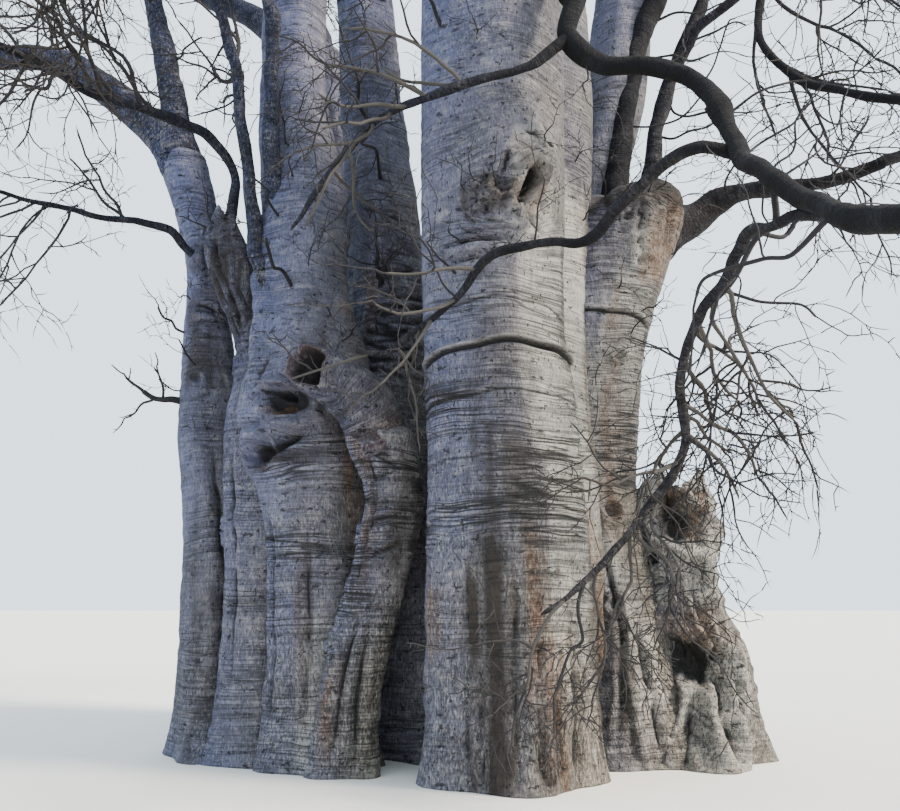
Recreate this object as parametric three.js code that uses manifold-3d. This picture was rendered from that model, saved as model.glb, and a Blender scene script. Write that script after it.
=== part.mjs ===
// A bare baobab: a ring of fused stems, the main boughs that leave them, and the masses of twigs.
// Millimetres, +Z up, with level ground at z = 0 and the origin under the middle stem.
// The front is -Y.
import * as THREE from 'three';
import Module from 'manifold-3d';

const wasm = await Module();
wasm.setup();

// Driving sizes shared by the whole tree
const clearGap = 0.4; // between two limbs that meet
const tipGap = 0.3; // between a bough's tip and the stem of its mass
const flareHeight = 480; // the root flare fades over this height
const lobeDepth = 0.035; // how deep the fluting of a stem is, as a share of its radius
const stemSides = 14;
const flareRings = [0, 0.35, 0.85, 1.8]; // where a stem's lowest rings stand, in heights of the flare
const stemStep = 1750; // between the rings of a stem above its flare
const capHeight = 0.45; // of a stem's rounded top, as a share of its radius
const capRings = [32, 62]; // where the rings round that top stand, in degrees above its rim
const boughSides = 6;
const sweptPieces = 4; // straight pieces that a swept bough is bent from
const sweptSway = 9; // degrees that a swept bough strays from its heading
const sweptRate = 2.1; // how fast it strays from one side to the other, in radians a piece
const sweptTaper = 0.65; // below 1 it thins more slowly towards its tip

// Bark and twig colours
const barkColour = 0x8d8996;
const boughColour = 0x5c5450;
const twigColour = 0x6b625c;

// How twigs grow: a twig of one level carries side twigs and a leader of the next level
const twigLevels = 2;
const twigPieces = [4, 2, 1]; // straight pieces that a stem, a twig and a twiglet are bent from
const sideTwigs = [4, 1];
const lengthRatio = 0.62;
const girthRatio = 0.62;
const tipGirth = 0.55; // a twig's tip radius, as a share of its root radius
const massGirth = [0.95, 0.42]; // a mass's stem at its root and tip, as shares of its bough's tip
const leaderGirth = 0.9; // of the twig that it leads
const thinnestTwig = 6;
const sideSpan = [0.35, 0.92]; // of a twig's length, where its side twigs stand
const leaderPlace = 0.96; // and its leader
const spotStart = 0.08; // of that span, before the first side twig
const spotSpan = 0.84;
const spotStray = 0.08;
const sideTilt = [0.75, 0.5]; // radians off its twig's heading: the least, and how much more
const leaderTilt = [0.15, 0.3];
const turnStray = 0.8;
const lengthFade = [1.1, 0.3]; // a side twig's length at its twig's root, and how far that fades
const lengthStray = [0.8, 0.4];
const goldenTurn = 2.39996;
const goldenShare = 0.618034; // the step between side twigs, as a share of a twig's length
const wander = 0.24; // how far each piece strays from the last one's heading
const twigClearance = 40; // kept between a twig and any limb or mass it doesn't belong to
const testedParts = [1 / 3, 2 / 3, 1]; // of each straight piece, where that is tested
const reachMargin = 150; // the finest twigs, left out here, grow on by this much
const groundClearance = 250;

// Stems, front to back: [height, x, y, radius] from the flat foot to the fork or tip.
// lobes and turn set the fluting, flare the root flare's width, cap the top's height.
// A swelling is [height, degrees from +X, stands out by, half height, half width].
const stems = {
  stem_front: {
    line: [
      [0, 630, -1050, 880], [1800, 630, -1060, 880], [3700, 570, -1150, 835], [4800, 480, -1220, 800],
      [7000, 480, -1300, 820], [9000, 500, -1450, 830], [10400, 520, -1520, 720],
    ],
    lobes: 5, turn: 0.9, flare: 130,
    swellings: [[6650, 300, 90, 420, 420], [4700, 270, -25, 500, 900]],
  },
  stem_right: {
    line: [
      [0, 2080, 0, 640], [1330, 2030, 100, 530], [3000, 1870, 250, 490], [4400, 1840, 300, 600],
      [5700, 1960, 300, 770], [6750, 2220, 300, 790],
    ],
    lobes: 4, turn: 2.2, flare: 190,
    swellings: [[6600, 330, 110, 500, 500]],
  },
  stem_left_inner: {
    line: [
      [0, -1480, -300, 590], [2300, -1540, -200, 590], [3600, -1700, 0, 770], [4600, -1780, 50, 730],
      [5700, -1900, 200, 580], [7100, -2000, 350, 590], [8800, -2200, 600, 480], [10500, -2280, 800, 440],
    ],
    lobes: 5, turn: 0.2, flare: 150,
    swellings: [[3950, 245, 110, 380, 420], [4300, 205, 80, 350, 300]],
  },
  stem_stub: {
    line: [
      [0, -1130, -850, 300], [1000, -1040, -830, 300], [1900, -830, -780, 355], [2900, -630, -770, 370],
      [3600, -760, -860, 385],
    ],
    lobes: 3, turn: 1.4, flare: 130,
    swellings: [[3450, 200, 60, 260, 260]],
  },
  stem_front_right: {
    line: [
      [0, 1180, 50, 640], [2600, 1200, -150, 600], [5000, 1110, -200, 560], [6900, 1110, -100, 700],
      [9200, 1180, 50, 700], [11000, 1250, 150, 540],
    ],
    lobes: 4, turn: 0.6, flare: 120,
  },
  stem_left_outer: {
    line: [
      [0, -2720, 420, 560], [2300, -2860, 500, 490], [3900, -3100, 600, 430], [5100, -3290, 780, 335],
      [6400, -3410, 800, 265], [7300, -3600, 800, 315], [7900, -3780, 800, 320],
    ],
    lobes: 4, turn: 1.1, flare: 170,
  },
  buttress_right: {
    line: [
      [0, 2760, 150, 760], [900, 2940, 280, 620], [1900, 2780, 250, 520], [3200, 2760, 300, 380],
    ],
    lobes: 5, turn: 0.5, flare: 230, cap: 0.2,
    swellings: [[900, 285, -140, 360, 330], [2600, 330, 90, 420, 300]],
  },
  stem_left_pollard: {
    line: [
      [0, -2280, -60, 430], [2000, -2280, 0, 400], [3900, -2500, 250, 330], [4900, -2540, 300, 240],
      [5800, -2760, 300, 300], [6700, -3060, 300, 275],
    ],
    lobes: 3, turn: 2.6, flare: 150, cap: 0.3,
  },
  stem_middle: {
    line: [
      [0, 0, 600, 980], [1800, -350, 650, 790], [4400, -840, 800, 590], [5900, -860, 1000, 570],
      [8300, -1100, 1300, 500], [11100, -1350, 1600, 430],
    ],
    lobes: 5, turn: 1.9, flare: 80,
  },
  stem_back_left: {
    line: [
      [0, -1450, 1600, 880], [2500, -1600, 1750, 740], [5500, -1750, 2000, 640], [8500, -2000, 2400, 520],
      [10900, -2300, 2800, 410],
    ],
    lobes: 4, turn: 0.3, flare: 200,
  },
  stem_back_right: {
    line: [
      [0, 1850, 1450, 880], [2200, 1850, 1400, 710], [5000, 1900, 1100, 600], [7400, 2050, 950, 500],
      [9200, 2450, 1000, 455], [10900, 2650, 1100, 400],
    ],
    lobes: 5, turn: 2.8, flare: 190,
  },
  stem_back: {
    line: [
      [0, 350, 2300, 960], [2500, 350, 2400, 810], [5500, 400, 2600, 720], [8500, 500, 2900, 600],
      [11200, 600, 3200, 450],
    ],
    lobes: 5, turn: 0.7, flare: 220,
  },
};

// Boughs that bend in their own way: [x, y, z, radius] from the stem to the tip.
const bentBoughs = {
  bough_stub: [
    [-760, -840, 3500, 330], [-980, -980, 3950, 350], [-1300, -1100, 4200, 300], [-1540, -1190, 4330, 250],
  ],
  bough_left_arch: [
    [-3700, 800, 7600, 290], [-4280, 700, 8420, 265], [-5200, 500, 9120, 205],
    [-5750, 250, 9200, 175], [-6300, -100, 8950, 150], [-6850, -450, 8560, 120],
  ],
  bough_left_rise: [
    [-3780, 800, 7700, 270], [-4040, 850, 8910, 190], [-4240, 900, 9750, 160],
    [-4500, 1000, 10660, 142], [-4950, 1200, 12100, 110],
  ],
  bough_right_sweep: [
    [980, -1850, 9300, 150], [1340, -2300, 8230, 118], [1240, -2400, 7690, 108], [1600, -2400, 7380, 100],
    [2100, -2500, 7290, 98], [2460, -2700, 7050, 98], [2600, -3000, 6600, 98], [2550, -3500, 5950, 95],
    [2500, -4300, 5210, 90], [2470, -5100, 4600, 80], [2430, -5900, 4090, 76], [2560, -6700, 3700, 72],
    [2900, -7400, 3500, 62],
  ],
  bough_right_low: [
    [2750, 300, 6550, 300], [3210, 250, 6740, 200], [3510, 200, 6990, 165],
    [3890, 0, 7060, 130], [4840, -400, 7000, 92], [5400, -650, 7150, 76],
  ],
  bough_right_dark: [
    [2250, 450, 6700, 190], [2300, 550, 7500, 165], [2680, 700, 9460, 155], [3010, 700, 10440, 145],
    [3500, 500, 12000, 115],
  ],
  bough_right_rise: [
    [2700, 650, 6650, 170], [2900, 900, 8000, 118], [3220, 1000, 9200, 108], [3600, 1000, 10100, 102],
    [4100, 1100, 11400, 85],
  ],
};

// Boughs above a stem's fork: they leave its top towards heading, in degrees from +X,
// climb at rise degrees and level off by bend degrees on the way.
const sweptBoughs = {
  bough_front_left: {
    stem: 'stem_front', heading: 232, rise: 50, bend: 24, length: 5600, root: 400, tip: 130,
  },
  bough_front_right: {
    stem: 'stem_front', heading: 322, rise: 44, bend: 26, length: 5500, root: 390, tip: 130,
  },
  bough_front_top: {
    stem: 'stem_front', heading: 268, rise: 74, bend: 10, length: 4700, root: 400, tip: 130,
  },
  bough_centre_top: {
    stem: 'stem_front_right', heading: 10, rise: 72, bend: 12, length: 4300, root: 390, tip: 130,
  },
  bough_left_front: {
    stem: 'stem_left_inner', heading: 205, rise: 50, bend: 26, length: 4700, root: 290, tip: 115,
  },
  bough_left_top: {
    stem: 'stem_left_inner', heading: 140, rise: 72, bend: 8, length: 4300, root: 310, tip: 120,
  },
  bough_middle_top: {
    stem: 'stem_middle', heading: 290, rise: 80, bend: 8, length: 4600, root: 340, tip: 120,
  },
  bough_back_left: {
    stem: 'stem_back_left', heading: 168, rise: 44, bend: 26, length: 5300, root: 310, tip: 120,
  },
  bough_back_left_top: {
    stem: 'stem_back_left', heading: 112, rise: 62, bend: 20, length: 4900, root: 310, tip: 120,
  },
  bough_back: {
    stem: 'stem_back', heading: 84, rise: 46, bend: 24, length: 5400, root: 350, tip: 125,
  },
  bough_back_right: {
    stem: 'stem_back_right', heading: 24, rise: 46, bend: 26, length: 5300, root: 310, tip: 120,
  },
  bough_back_right_top: {
    stem: 'stem_back_right', heading: 70, rise: 66, bend: 16, length: 4700, root: 300, tip: 120,
  },
};

// Masses of twigs at the tips of boughs: their stem grows on from the bough's tip.
// stem is its length, spread the length of the twigs it carries, reach how far they get from it.
const crownMass = { stem: 3000, spread: 2300, reach: 2500, lift: 0.1, first: 0.3 };
const tipMasses = {
  twigs_left_arch: { bough: 'bough_left_arch', ...crownMass, stem: 2300, spread: 1900, lift: 0.03 },
  twigs_left_rise: { bough: 'bough_left_rise', ...crownMass },
  twigs_right_sweep: { bough: 'bough_right_sweep', ...crownMass, stem: 1900, spread: 1600, lift: 0.05 },
  twigs_right_low: { bough: 'bough_right_low', ...crownMass, stem: 3000, spread: 2000 },
  twigs_right_dark: { bough: 'bough_right_dark', ...crownMass },
  twigs_right_rise: { bough: 'bough_right_rise', ...crownMass },
  twigs_front_left_top: { bough: 'bough_front_left', ...crownMass },
  twigs_front_right: { bough: 'bough_front_right', ...crownMass },
  twigs_front_top: { bough: 'bough_front_top', ...crownMass },
  twigs_centre_top: { bough: 'bough_centre_top', ...crownMass },
  twigs_left_front: { bough: 'bough_left_front', ...crownMass },
  twigs_left_top: { bough: 'bough_left_top', ...crownMass },
  twigs_middle_top: { bough: 'bough_middle_top', ...crownMass },
  twigs_back_left: { bough: 'bough_back_left', ...crownMass },
  twigs_back_left_top: { bough: 'bough_back_left_top', ...crownMass },
  twigs_back: { bough: 'bough_back', ...crownMass },
  twigs_back_right: { bough: 'bough_back_right', ...crownMass },
  twigs_back_right_top: { bough: 'bough_back_right_top', ...crownMass },
};

// Masses whose stem is a slender limb with a bend of its own: [x, y, z, radius] from its root.
const sideMass = { spread: 1300, reach: 1500, lift: 0, first: 0.3 };
const limbMasses = {
  twigs_crossing: {
    ...sideMass, side: 5, first: 0.35,
    line: [
      [2530, -3700, 5660, 60], [2210, -3700, 5690, 58], [1730, -3400, 5470, 54], [1310, -3000, 5150, 50],
      [780, -2750, 5210, 46], [400, -2600, 5110, 44], [-100, -2400, 4620, 40], [-670, -2150, 4310, 32],
      [-1040, -2050, 4310, 24],
    ],
  },
  twigs_hanging_right: {
    ...sideMass, side: 6, lift: -0.12,
    line: [
      [2430, -6050, 4010, 54], [2500, -5000, 4440, 48], [2420, -3800, 4660, 48], [2280, -3100, 4390, 50],
      [2210, -2600, 3870, 50], [2240, -2350, 3180, 47], [1930, -2250, 2700, 42], [1230, -2400, 2030, 34],
      [840, -2450, 1710, 22],
    ],
  },
  twigs_high_right: {
    ...sideMass, side: 5, spread: 1900, reach: 2100, first: 0.35,
    line: [
      [3080, -3540, 12480, 84], [3420, -2850, 11100, 68], [3640, -2150, 9300, 56], [3380, -2300, 7760, 46],
      [3530, -2700, 7000, 44], [4030, -3700, 6160, 40], [4700, -4500, 5800, 30],
    ],
  },
  twigs_fork_right: {
    ...sideMass, side: 4, spread: 1800, reach: 2000, lift: 0.06, first: 0.35,
    line: [
      [3250, 980, 9300, 84], [3560, 450, 9740, 78], [4050, 150, 10150, 68], [5200, -150, 10900, 54],
      [6300, -500, 11300, 38],
    ],
  },
  twigs_left_dark: {
    ...sideMass, side: 5, spread: 1800, reach: 2000,
    line: [
      [-2960, 240, 6700, 84], [-2790, 20, 7230, 68], [-3080, -300, 7600, 65], [-3610, -800, 7670, 62],
      [-4300, -1400, 7700, 54], [-5160, -2400, 7790, 40],
    ],
  },
  twigs_left_low: {
    ...sideMass, side: 4, spread: 1800, reach: 2000,
    line: [
      [-3430, 650, 6300, 62], [-3750, 180, 6600, 50], [-4500, -200, 6660, 44], [-5020, -500, 6670, 36],
      [-5650, -900, 6700, 26],
    ],
  },
  twigs_left_inner: {
    ...sideMass, side: 4, spread: 1900, reach: 2100, lift: 0.06, first: 0.5,
    line: [
      [-2250, -60, 5350, 124], [-2440, -120, 6240, 106], [-2600, -120, 7000, 90], [-2800, -120, 8000, 82],
      [-2880, -150, 8900, 74], [-3150, -300, 9700, 62], [-3700, -700, 10800, 42],
    ],
  },
  twigs_left_upright: {
    ...sideMass, side: 4, spread: 1900, reach: 2100, lift: 0.06, first: 0.45,
    line: [
      [-2330, 120, 6500, 115], [-2390, -140, 7500, 107], [-2390, -150, 9000, 102], [-2380, -350, 9930, 92],
      [-2350, -1000, 11300, 60], [-2300, -1600, 12300, 42],
    ],
  },
  twigs_front_left: {
    ...sideMass, side: 6, first: 0.2, lift: -0.08,
    line: [
      [1240, -2430, 7650, 66], [900, -2500, 7350, 54], [0, -2450, 7110, 50], [-710, -2150, 6920, 47],
      [-1110, -1850, 6730, 43], [-1590, -1400, 6190, 34], [-1840, -1330, 5900, 24],
    ],
  },
};

const up = new THREE.Vector3(0, 0, 1);
const radians = (degrees) => (degrees * Math.PI) / 180;

// Seeded numbers: the same seed always gives the same tree
function mix(number) {
  let hash = number | 0;
  hash = Math.imul(hash ^ (hash >>> 16), 0x7feb352d);
  hash = Math.imul(hash ^ (hash >>> 15), 0x846ca68b);
  return (hash ^ (hash >>> 16)) >>> 0;
}
const seedOf = (seed, count) => mix(seed + Math.imul(count + 1, 0x9e3779b9));
const draw = (seed, count) => seedOf(seed, count) / 4294967296;

// The smooth line through rows of numbers, one row to each knot, at the place s.
function along(knots, rows, s) {
  let i = 0;
  while (i < knots.length - 2 && s > knots[i + 1]) i += 1;
  const span = knots[i + 1] - knots[i];
  const u = (s - knots[i]) / span;
  const slope = (k, j) => {
    const before = Math.max(k - 1, 0);
    const after = Math.min(k + 1, knots.length - 1);
    return (rows[after][j] - rows[before][j]) / (knots[after] - knots[before]);
  };
  return rows[i].map((value, j) => {
    const start = (2 * u ** 3 - 3 * u ** 2 + 1) * value + (u ** 3 - 2 * u ** 2 + u) * span * slope(i, j);
    const end = (3 * u ** 2 - 2 * u ** 3) * rows[i + 1][j] + (u ** 3 - u ** 2) * span * slope(i + 1, j);
    return start + end;
  });
}

// Distances along a limb at which its rows [x, y, z, radius] stand.
function chordKnots(rows) {
  const knots = [0];
  for (let i = 1; i < rows.length; i += 1) {
    const [x, y, z] = [0, 1, 2].map((j) => rows[i][j] - rows[i - 1][j]);
    knots.push(knots[i - 1] + Math.hypot(x, y, z));
  }
  return knots;
}

// A closed solid lofted through rings of points that run counterclockwise about its growth.
// foot and tip are points that close its ends, or an end is left flat.
function loft(rings, foot, tip) {
  const sides = rings[0].length;
  const positions = rings.flat().flatMap((point) => [point.x, point.y, point.z]);
  const triangles = [];
  for (let i = 0; i + 1 < rings.length; i += 1) {
    for (let j = 0; j < sides; j += 1) {
      const a = i * sides + j;
      const b = i * sides + ((j + 1) % sides);
      triangles.push(a, b, b + sides, a, b + sides, a + sides);
    }
  }
  const close = (first, centre, turned) => {
    if (centre) positions.push(centre.x, centre.y, centre.z);
    const hub = centre ? positions.length / 3 - 1 : first;
    for (let j = centre ? 0 : 1; j < (centre ? sides : sides - 1); j += 1) {
      const a = first + j;
      const b = first + ((j + 1) % sides);
      triangles.push(hub, turned ? b : a, turned ? a : b);
    }
  };
  close(0, foot, true);
  close((rings.length - 1) * sides, tip, false);
  const vertProperties = new Float32Array(positions);
  const triVerts = new Uint32Array(triangles);
  return new wasm.Manifold(new wasm.Mesh({ numProp: 3, vertProperties, triVerts }));
}

// How far a stem's bark stands from its axis, at a height and in a direction.
function barkRadius(stem, radius, height, angle) {
  const lobe = Math.cos(stem.lobes * angle + stem.turn);
  const flare = stem.flare * Math.exp(-height / flareHeight) * (0.6 + 0.4 * lobe);
  let out = radius * (1 + lobeDepth * lobe) + flare;
  for (const [level, degrees, stand, tall, wide] of stem.swellings ?? []) {
    const turn = angle - radians(degrees);
    const aside = (Math.atan2(Math.sin(turn), Math.cos(turn)) * radius) / wide;
    out += stand * Math.exp(-(((height - level) / tall) ** 2) - aside ** 2);
  }
  return out;
}

// The heights at which a stem gets a ring: close in the flare, then even.
function ringHeights(top) {
  const heights = flareRings.map((share) => flareHeight * share);
  const even = heights[heights.length - 1];
  const count = Math.ceil((top - even) / stemStep);
  for (let i = 1; i <= count; i += 1) heights.push(even + ((top - even) * i) / count);
  return heights;
}

// A stem: level rings up its line and a rounded top. grown makes it larger all round.
function stemSolid(stem, grown = 0) {
  const knots = stem.line.map((row) => row[0]);
  const rows = stem.line.map((row) => row.slice(1));
  const top = knots[knots.length - 1];
  const ringAt = (height, shrink, lifted) => {
    const [x, y, radius] = along(knots, rows, height);
    return Array.from({ length: stemSides }, (_, j) => {
      const angle = (2 * Math.PI * j) / stemSides;
      const out = (barkRadius(stem, radius, height, angle) + grown) * shrink;
      return new THREE.Vector3(x + out * Math.cos(angle), y + out * Math.sin(angle), height + lifted);
    });
  };
  const rings = ringHeights(top).map((height) => ringAt(height, 1, height === 0 ? -grown : 0));
  const [x, y, radius] = along(knots, rows, top);
  const rise = radius * (stem.cap ?? capHeight) + grown;
  for (const angle of capRings.map(radians)) {
    rings.push(ringAt(top, Math.cos(angle), rise * Math.sin(angle)));
  }
  const foot = new THREE.Vector3(rows[0][0], rows[0][1], -grown);
  return loft(rings, foot, new THREE.Vector3(x, y, top + rise));
}

// Where a smooth line of rows heads at the place s.
function headingAt(knots, rows, s) {
  const length = knots[knots.length - 1];
  const nudge = length * 1e-3;
  const ahead = new THREE.Vector3(...along(knots, rows, Math.min(s + nudge, length)).slice(0, 3));
  const behind = new THREE.Vector3(...along(knots, rows, Math.max(s - nudge, 0)).slice(0, 3));
  return ahead.sub(behind).normalize();
}

// A bough through its rows [x, y, z, radius], flat at both ends. grown makes it larger all round.
function boughSolid(rows, grown = 0) {
  const knots = chordKnots(rows);
  const last = rows.length - 1;
  let across = null;
  const rings = rows.map(([x, y, z, radius], i) => {
    const heading = headingAt(knots, rows, knots[i]);
    across ??= perpendicular(heading);
    across = across.clone().addScaledVector(heading, -across.dot(heading)).normalize();
    const beside = new THREE.Vector3().crossVectors(heading, across);
    const centre = new THREE.Vector3(x, y, z);
    if (i === 0) centre.addScaledVector(heading, -grown);
    if (i === last) centre.addScaledVector(heading, grown);
    return Array.from({ length: boughSides }, (_, j) => {
      const angle = (2 * Math.PI * j) / boughSides;
      return centre.clone()
        .addScaledVector(across, Math.cos(angle) * (radius + grown))
        .addScaledVector(beside, Math.sin(angle) * (radius + grown));
    });
  });
  return loft(rings, null, null);
}

// A direction square to heading, the same one each time.
function perpendicular(heading) {
  const reference = Math.abs(heading.z) < 0.9 ? up : new THREE.Vector3(1, 0, 0);
  return new THREE.Vector3().crossVectors(reference, heading).normalize();
}

// The rows of a bough that sweeps up from a stem's fork.
function sweptRows(bough) {
  const stem = stems[bough.stem];
  const [height, x, y] = stem.line[stem.line.length - 1];
  const place = new THREE.Vector3(x, y, height - bough.root / 2);
  const step = bough.length / sweptPieces;
  const rows = [[place.x, place.y, place.z, bough.root]];
  for (let i = 0; i < sweptPieces; i += 1) {
    const rise = radians(bough.rise - (bough.bend * i) / (sweptPieces - 1));
    const heading = radians(bough.heading + sweptSway * Math.sin(sweptRate * i + bough.heading));
    place.x += step * Math.cos(rise) * Math.cos(heading);
    place.y += step * Math.cos(rise) * Math.sin(heading);
    place.z += step * Math.sin(rise);
    const part = (i + 1) / sweptPieces;
    rows.push([place.x, place.y, place.z, bough.root + (bough.tip - bough.root) * part ** sweptTaper]);
  }
  return rows;
}

// The rows of every bough.
const boughRows = { ...bentBoughs };
for (const [name, bough] of Object.entries(sweptBoughs)) boughRows[name] = sweptRows(bough);

// The straight pieces of a twig that strays from its heading by a seeded rule.
function crookedRows(place, heading, length, girth, tip, pieces, lift, seed) {
  const point = place.clone();
  const way = heading.clone();
  const rows = [[point.x, point.y, point.z, girth]];
  for (let i = 0; i < pieces; i += 1) {
    point.addScaledVector(way, length / pieces);
    rows.push([point.x, point.y, point.z, girth + ((tip - girth) * (i + 1)) / pieces]);
    const stray = new THREE.Vector3(...[11, 12, 13].map((count) => draw(seed, 3 * i + count) - 0.5));
    way.addScaledVector(stray, 2 * wander).addScaledVector(up, lift).normalize();
  }
  return rows;
}

// The stem of a mass at a bough's tip, 0.3 mm clear of it.
function tipStem(mass, rows, seed) {
  const knots = chordKnots(rows);
  const length = knots[knots.length - 1];
  const [x, y, z, radius] = rows[rows.length - 1];
  const heading = headingAt(knots, rows, length);
  const tip = new THREE.Vector3(x, y, z).addScaledVector(heading, tipGap);
  const [root, end] = massGirth.map((share) => radius * share);
  return crookedRows(tip, heading, mass.stem, root, end, twigPieces[0], mass.lift, seed);
}

// A point, heading and radius at a share of the length of a twig's straight pieces.
function placeOn(rows, share) {
  const knots = chordKnots(rows);
  const s = share * knots[knots.length - 1];
  let i = 0;
  while (i < rows.length - 2 && s > knots[i + 1]) i += 1;
  const part = (s - knots[i]) / (knots[i + 1] - knots[i]);
  const [x, y, z, radius] = rows[i].map((value, j) => value + (rows[i + 1][j] - value) * part);
  const heading = new THREE.Vector3(...[0, 1, 2].map((j) => rows[i + 1][j] - rows[i][j])).normalize();
  return { point: new THREE.Vector3(x, y, z), heading, radius };
}

// The next level's twigs on a twig: side twigs in golden steps along and about it, and a leader.
function shootsOf(twig, mass) {
  const side = twig.level === 0 ? mass.side ?? sideTwigs[0] : sideTwigs[twig.level];
  const first = twig.level === 0 ? mass.first : sideSpan[0];
  const base = twig.level === 0 ? mass.spread : twig.length * lengthRatio;
  const start = 2 * Math.PI * draw(twig.seed, 1);
  return Array.from({ length: side + 1 }, (_, k) => {
    const leader = k === side;
    const step = leader ? -1 : k;
    const seed = seedOf(twig.seed, 40 + step);
    const spot = spotStart + spotSpan * ((0.5 + goldenShare * step) % 1) + spotStray * draw(seed, 2);
    const share = leader ? leaderPlace : first + (sideSpan[1] - first) * spot;
    const place = placeOn(twig.rows, share);
    const [leastTilt, moreTilt] = leader ? leaderTilt : sideTilt;
    const tilt = leastTilt + moreTilt * draw(seed, 3);
    const turn = start + goldenTurn * step + turnStray * (draw(seed, 4) - 0.5);
    const across = perpendicular(place.heading);
    const beside = new THREE.Vector3().crossVectors(place.heading, across);
    const outward = across.multiplyScalar(Math.cos(turn)).addScaledVector(beside, Math.sin(turn));
    const heading = place.heading.multiplyScalar(Math.cos(tilt)).addScaledVector(outward, Math.sin(tilt));
    heading.addScaledVector(up, mass.lift).normalize();
    const fade = lengthFade[0] - lengthFade[1] * share;
    const length = base * fade * (lengthStray[0] + lengthStray[1] * draw(seed, 5));
    const girth = Math.max(place.radius * (leader ? leaderGirth : girthRatio), thinnestTwig);
    const level = twig.level + 1;
    const tip = Math.max(girth * tipGirth, thinnestTwig / 2);
    const rows = crookedRows(place.point, heading, length, girth, tip, twigPieces[level], mass.lift, seed);
    return { rows, length, level, seed };
  });
}

// How far a point lies from a line of straight pieces, or from its surface if it is solid.
function distanceTo(point, rows, solid) {
  let nearest = Infinity;
  for (let i = 0; i + 1 < rows.length; i += 1) {
    const a = new THREE.Vector3(rows[i][0], rows[i][1], rows[i][2]);
    const piece = new THREE.Vector3(rows[i + 1][0], rows[i + 1][1], rows[i + 1][2]).sub(a);
    const part = Math.min(Math.max(point.clone().sub(a).dot(piece) / piece.lengthSq(), 0), 1);
    const away = a.addScaledVector(piece, part).distanceTo(point);
    const radius = solid ? rows[i][3] + (rows[i + 1][3] - rows[i][3]) * part : 0;
    nearest = Math.min(nearest, away - radius);
  }
  return nearest;
}

// Whether a twig keeps to its mass's own space, off the ground and clear of every limb.
function keepsClear(twig, mass, masses, limbs) {
  for (let i = 0; i < twig.rows.length - 1; i += 1) {
    for (const part of testedParts) {
      const next = twig.rows[i + 1];
      const [x, y, z, radius] = twig.rows[i].map((value, j) => value + (next[j] - value) * part);
      const point = new THREE.Vector3(x, y, z);
      if (z < groundClearance) return false;
      const own = distanceTo(point, mass.rows, false);
      if (own > mass.reach - reachMargin) return false;
      const room = radius + twigClearance;
      const others = masses.filter((other) => other !== mass);
      if (others.some((other) => distanceTo(point, other.rows, false) < own + 2 * room)) return false;
      if (limbs.some((rows) => distanceTo(point, rows, true) < room)) return false;
    }
  }
  return true;
}

// The stem and twigs of a mass, level by level.
function growTwigs(mass, masses, limbs) {
  const grown = [{ rows: mass.rows, level: 0, seed: mass.seed }];
  for (let i = 0; i < grown.length; i += 1) {
    if (grown[i].level === twigLevels) continue;
    const shoots = shootsOf(grown[i], mass);
    grown.push(...shoots.filter((twig) => keepsClear(twig, mass, masses, limbs)));
  }
  return grown;
}

// A three-sided twig of straight pieces. The finest ones end in a point.
function twigSolid(twig) {
  const points = twig.rows.map(([x, y, z]) => new THREE.Vector3(x, y, z));
  const pointed = twig.level === twigLevels;
  const last = points.length - 1;
  const rings = [];
  let across = null;
  points.slice(0, pointed ? last : last + 1).forEach((point, i) => {
    const heading = points[Math.min(i + 1, last)].clone().sub(points[Math.max(i - 1, 0)]).normalize();
    across ??= perpendicular(heading).applyAxisAngle(heading, 6 * draw(twig.seed, 6));
    across = across.clone().addScaledVector(heading, -across.dot(heading)).normalize();
    const beside = new THREE.Vector3().crossVectors(heading, across);
    rings.push([0, 1, 2].map((j) => {
      const angle = (2 * Math.PI * j) / 3;
      return point.clone()
        .addScaledVector(across, Math.cos(angle) * twig.rows[i][3])
        .addScaledVector(beside, Math.sin(angle) * twig.rows[i][3]);
    }));
  });
  return loft(rings, null, pointed ? points[last] : null);
}

// The largest connected piece of a solid.
function largestPiece(solid) {
  return solid.decompose().reduce((best, piece) => (piece.volume() > best.volume() ? piece : best));
}

// Whether two solids' boxes overlap.
function boxesMeet(one, two) {
  const a = one.boundingBox();
  const b = two.boundingBox();
  return [0, 1, 2].every((j) => a.min[j] < b.max[j] && b.min[j] < a.max[j]);
}

// A solid with room cut in it for the limbs that it meets.
function cutClear(solid, cutters) {
  const meeting = cutters.filter((cutter) => boxesMeet(solid, cutter));
  return largestPiece(meeting.reduce((left, cutter) => left.subtract(cutter), solid));
}

// A named mesh of a solid.
function meshOf(name, solid, colour) {
  const { vertProperties, triVerts } = solid.getMesh();
  const geometry = new THREE.BufferGeometry();
  geometry.setAttribute('position', new THREE.BufferAttribute(new Float32Array(vertProperties), 3));
  geometry.setIndex(new THREE.BufferAttribute(new Uint32Array(triVerts), 1));
  geometry.computeVertexNormals();
  const material = new THREE.MeshStandardMaterial({ color: colour, roughness: 0.9, metalness: 0 });
  const mesh = new THREE.Mesh(geometry, material);
  mesh.name = name;
  return mesh;
}

// Stems and boughs, each cut clear of those before it
function buildLimbs(tree) {
  const cutters = [];
  for (const [name, stem] of Object.entries(stems)) {
    tree.add(meshOf(name, cutClear(stemSolid(stem), cutters), barkColour));
    cutters.push(stemSolid(stem, clearGap));
  }
  for (const [name, rows] of Object.entries(boughRows)) {
    tree.add(meshOf(name, cutClear(boughSolid(rows), cutters), boughColour));
    cutters.push(boughSolid(rows, clearGap));
  }
  return cutters;
}

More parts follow.
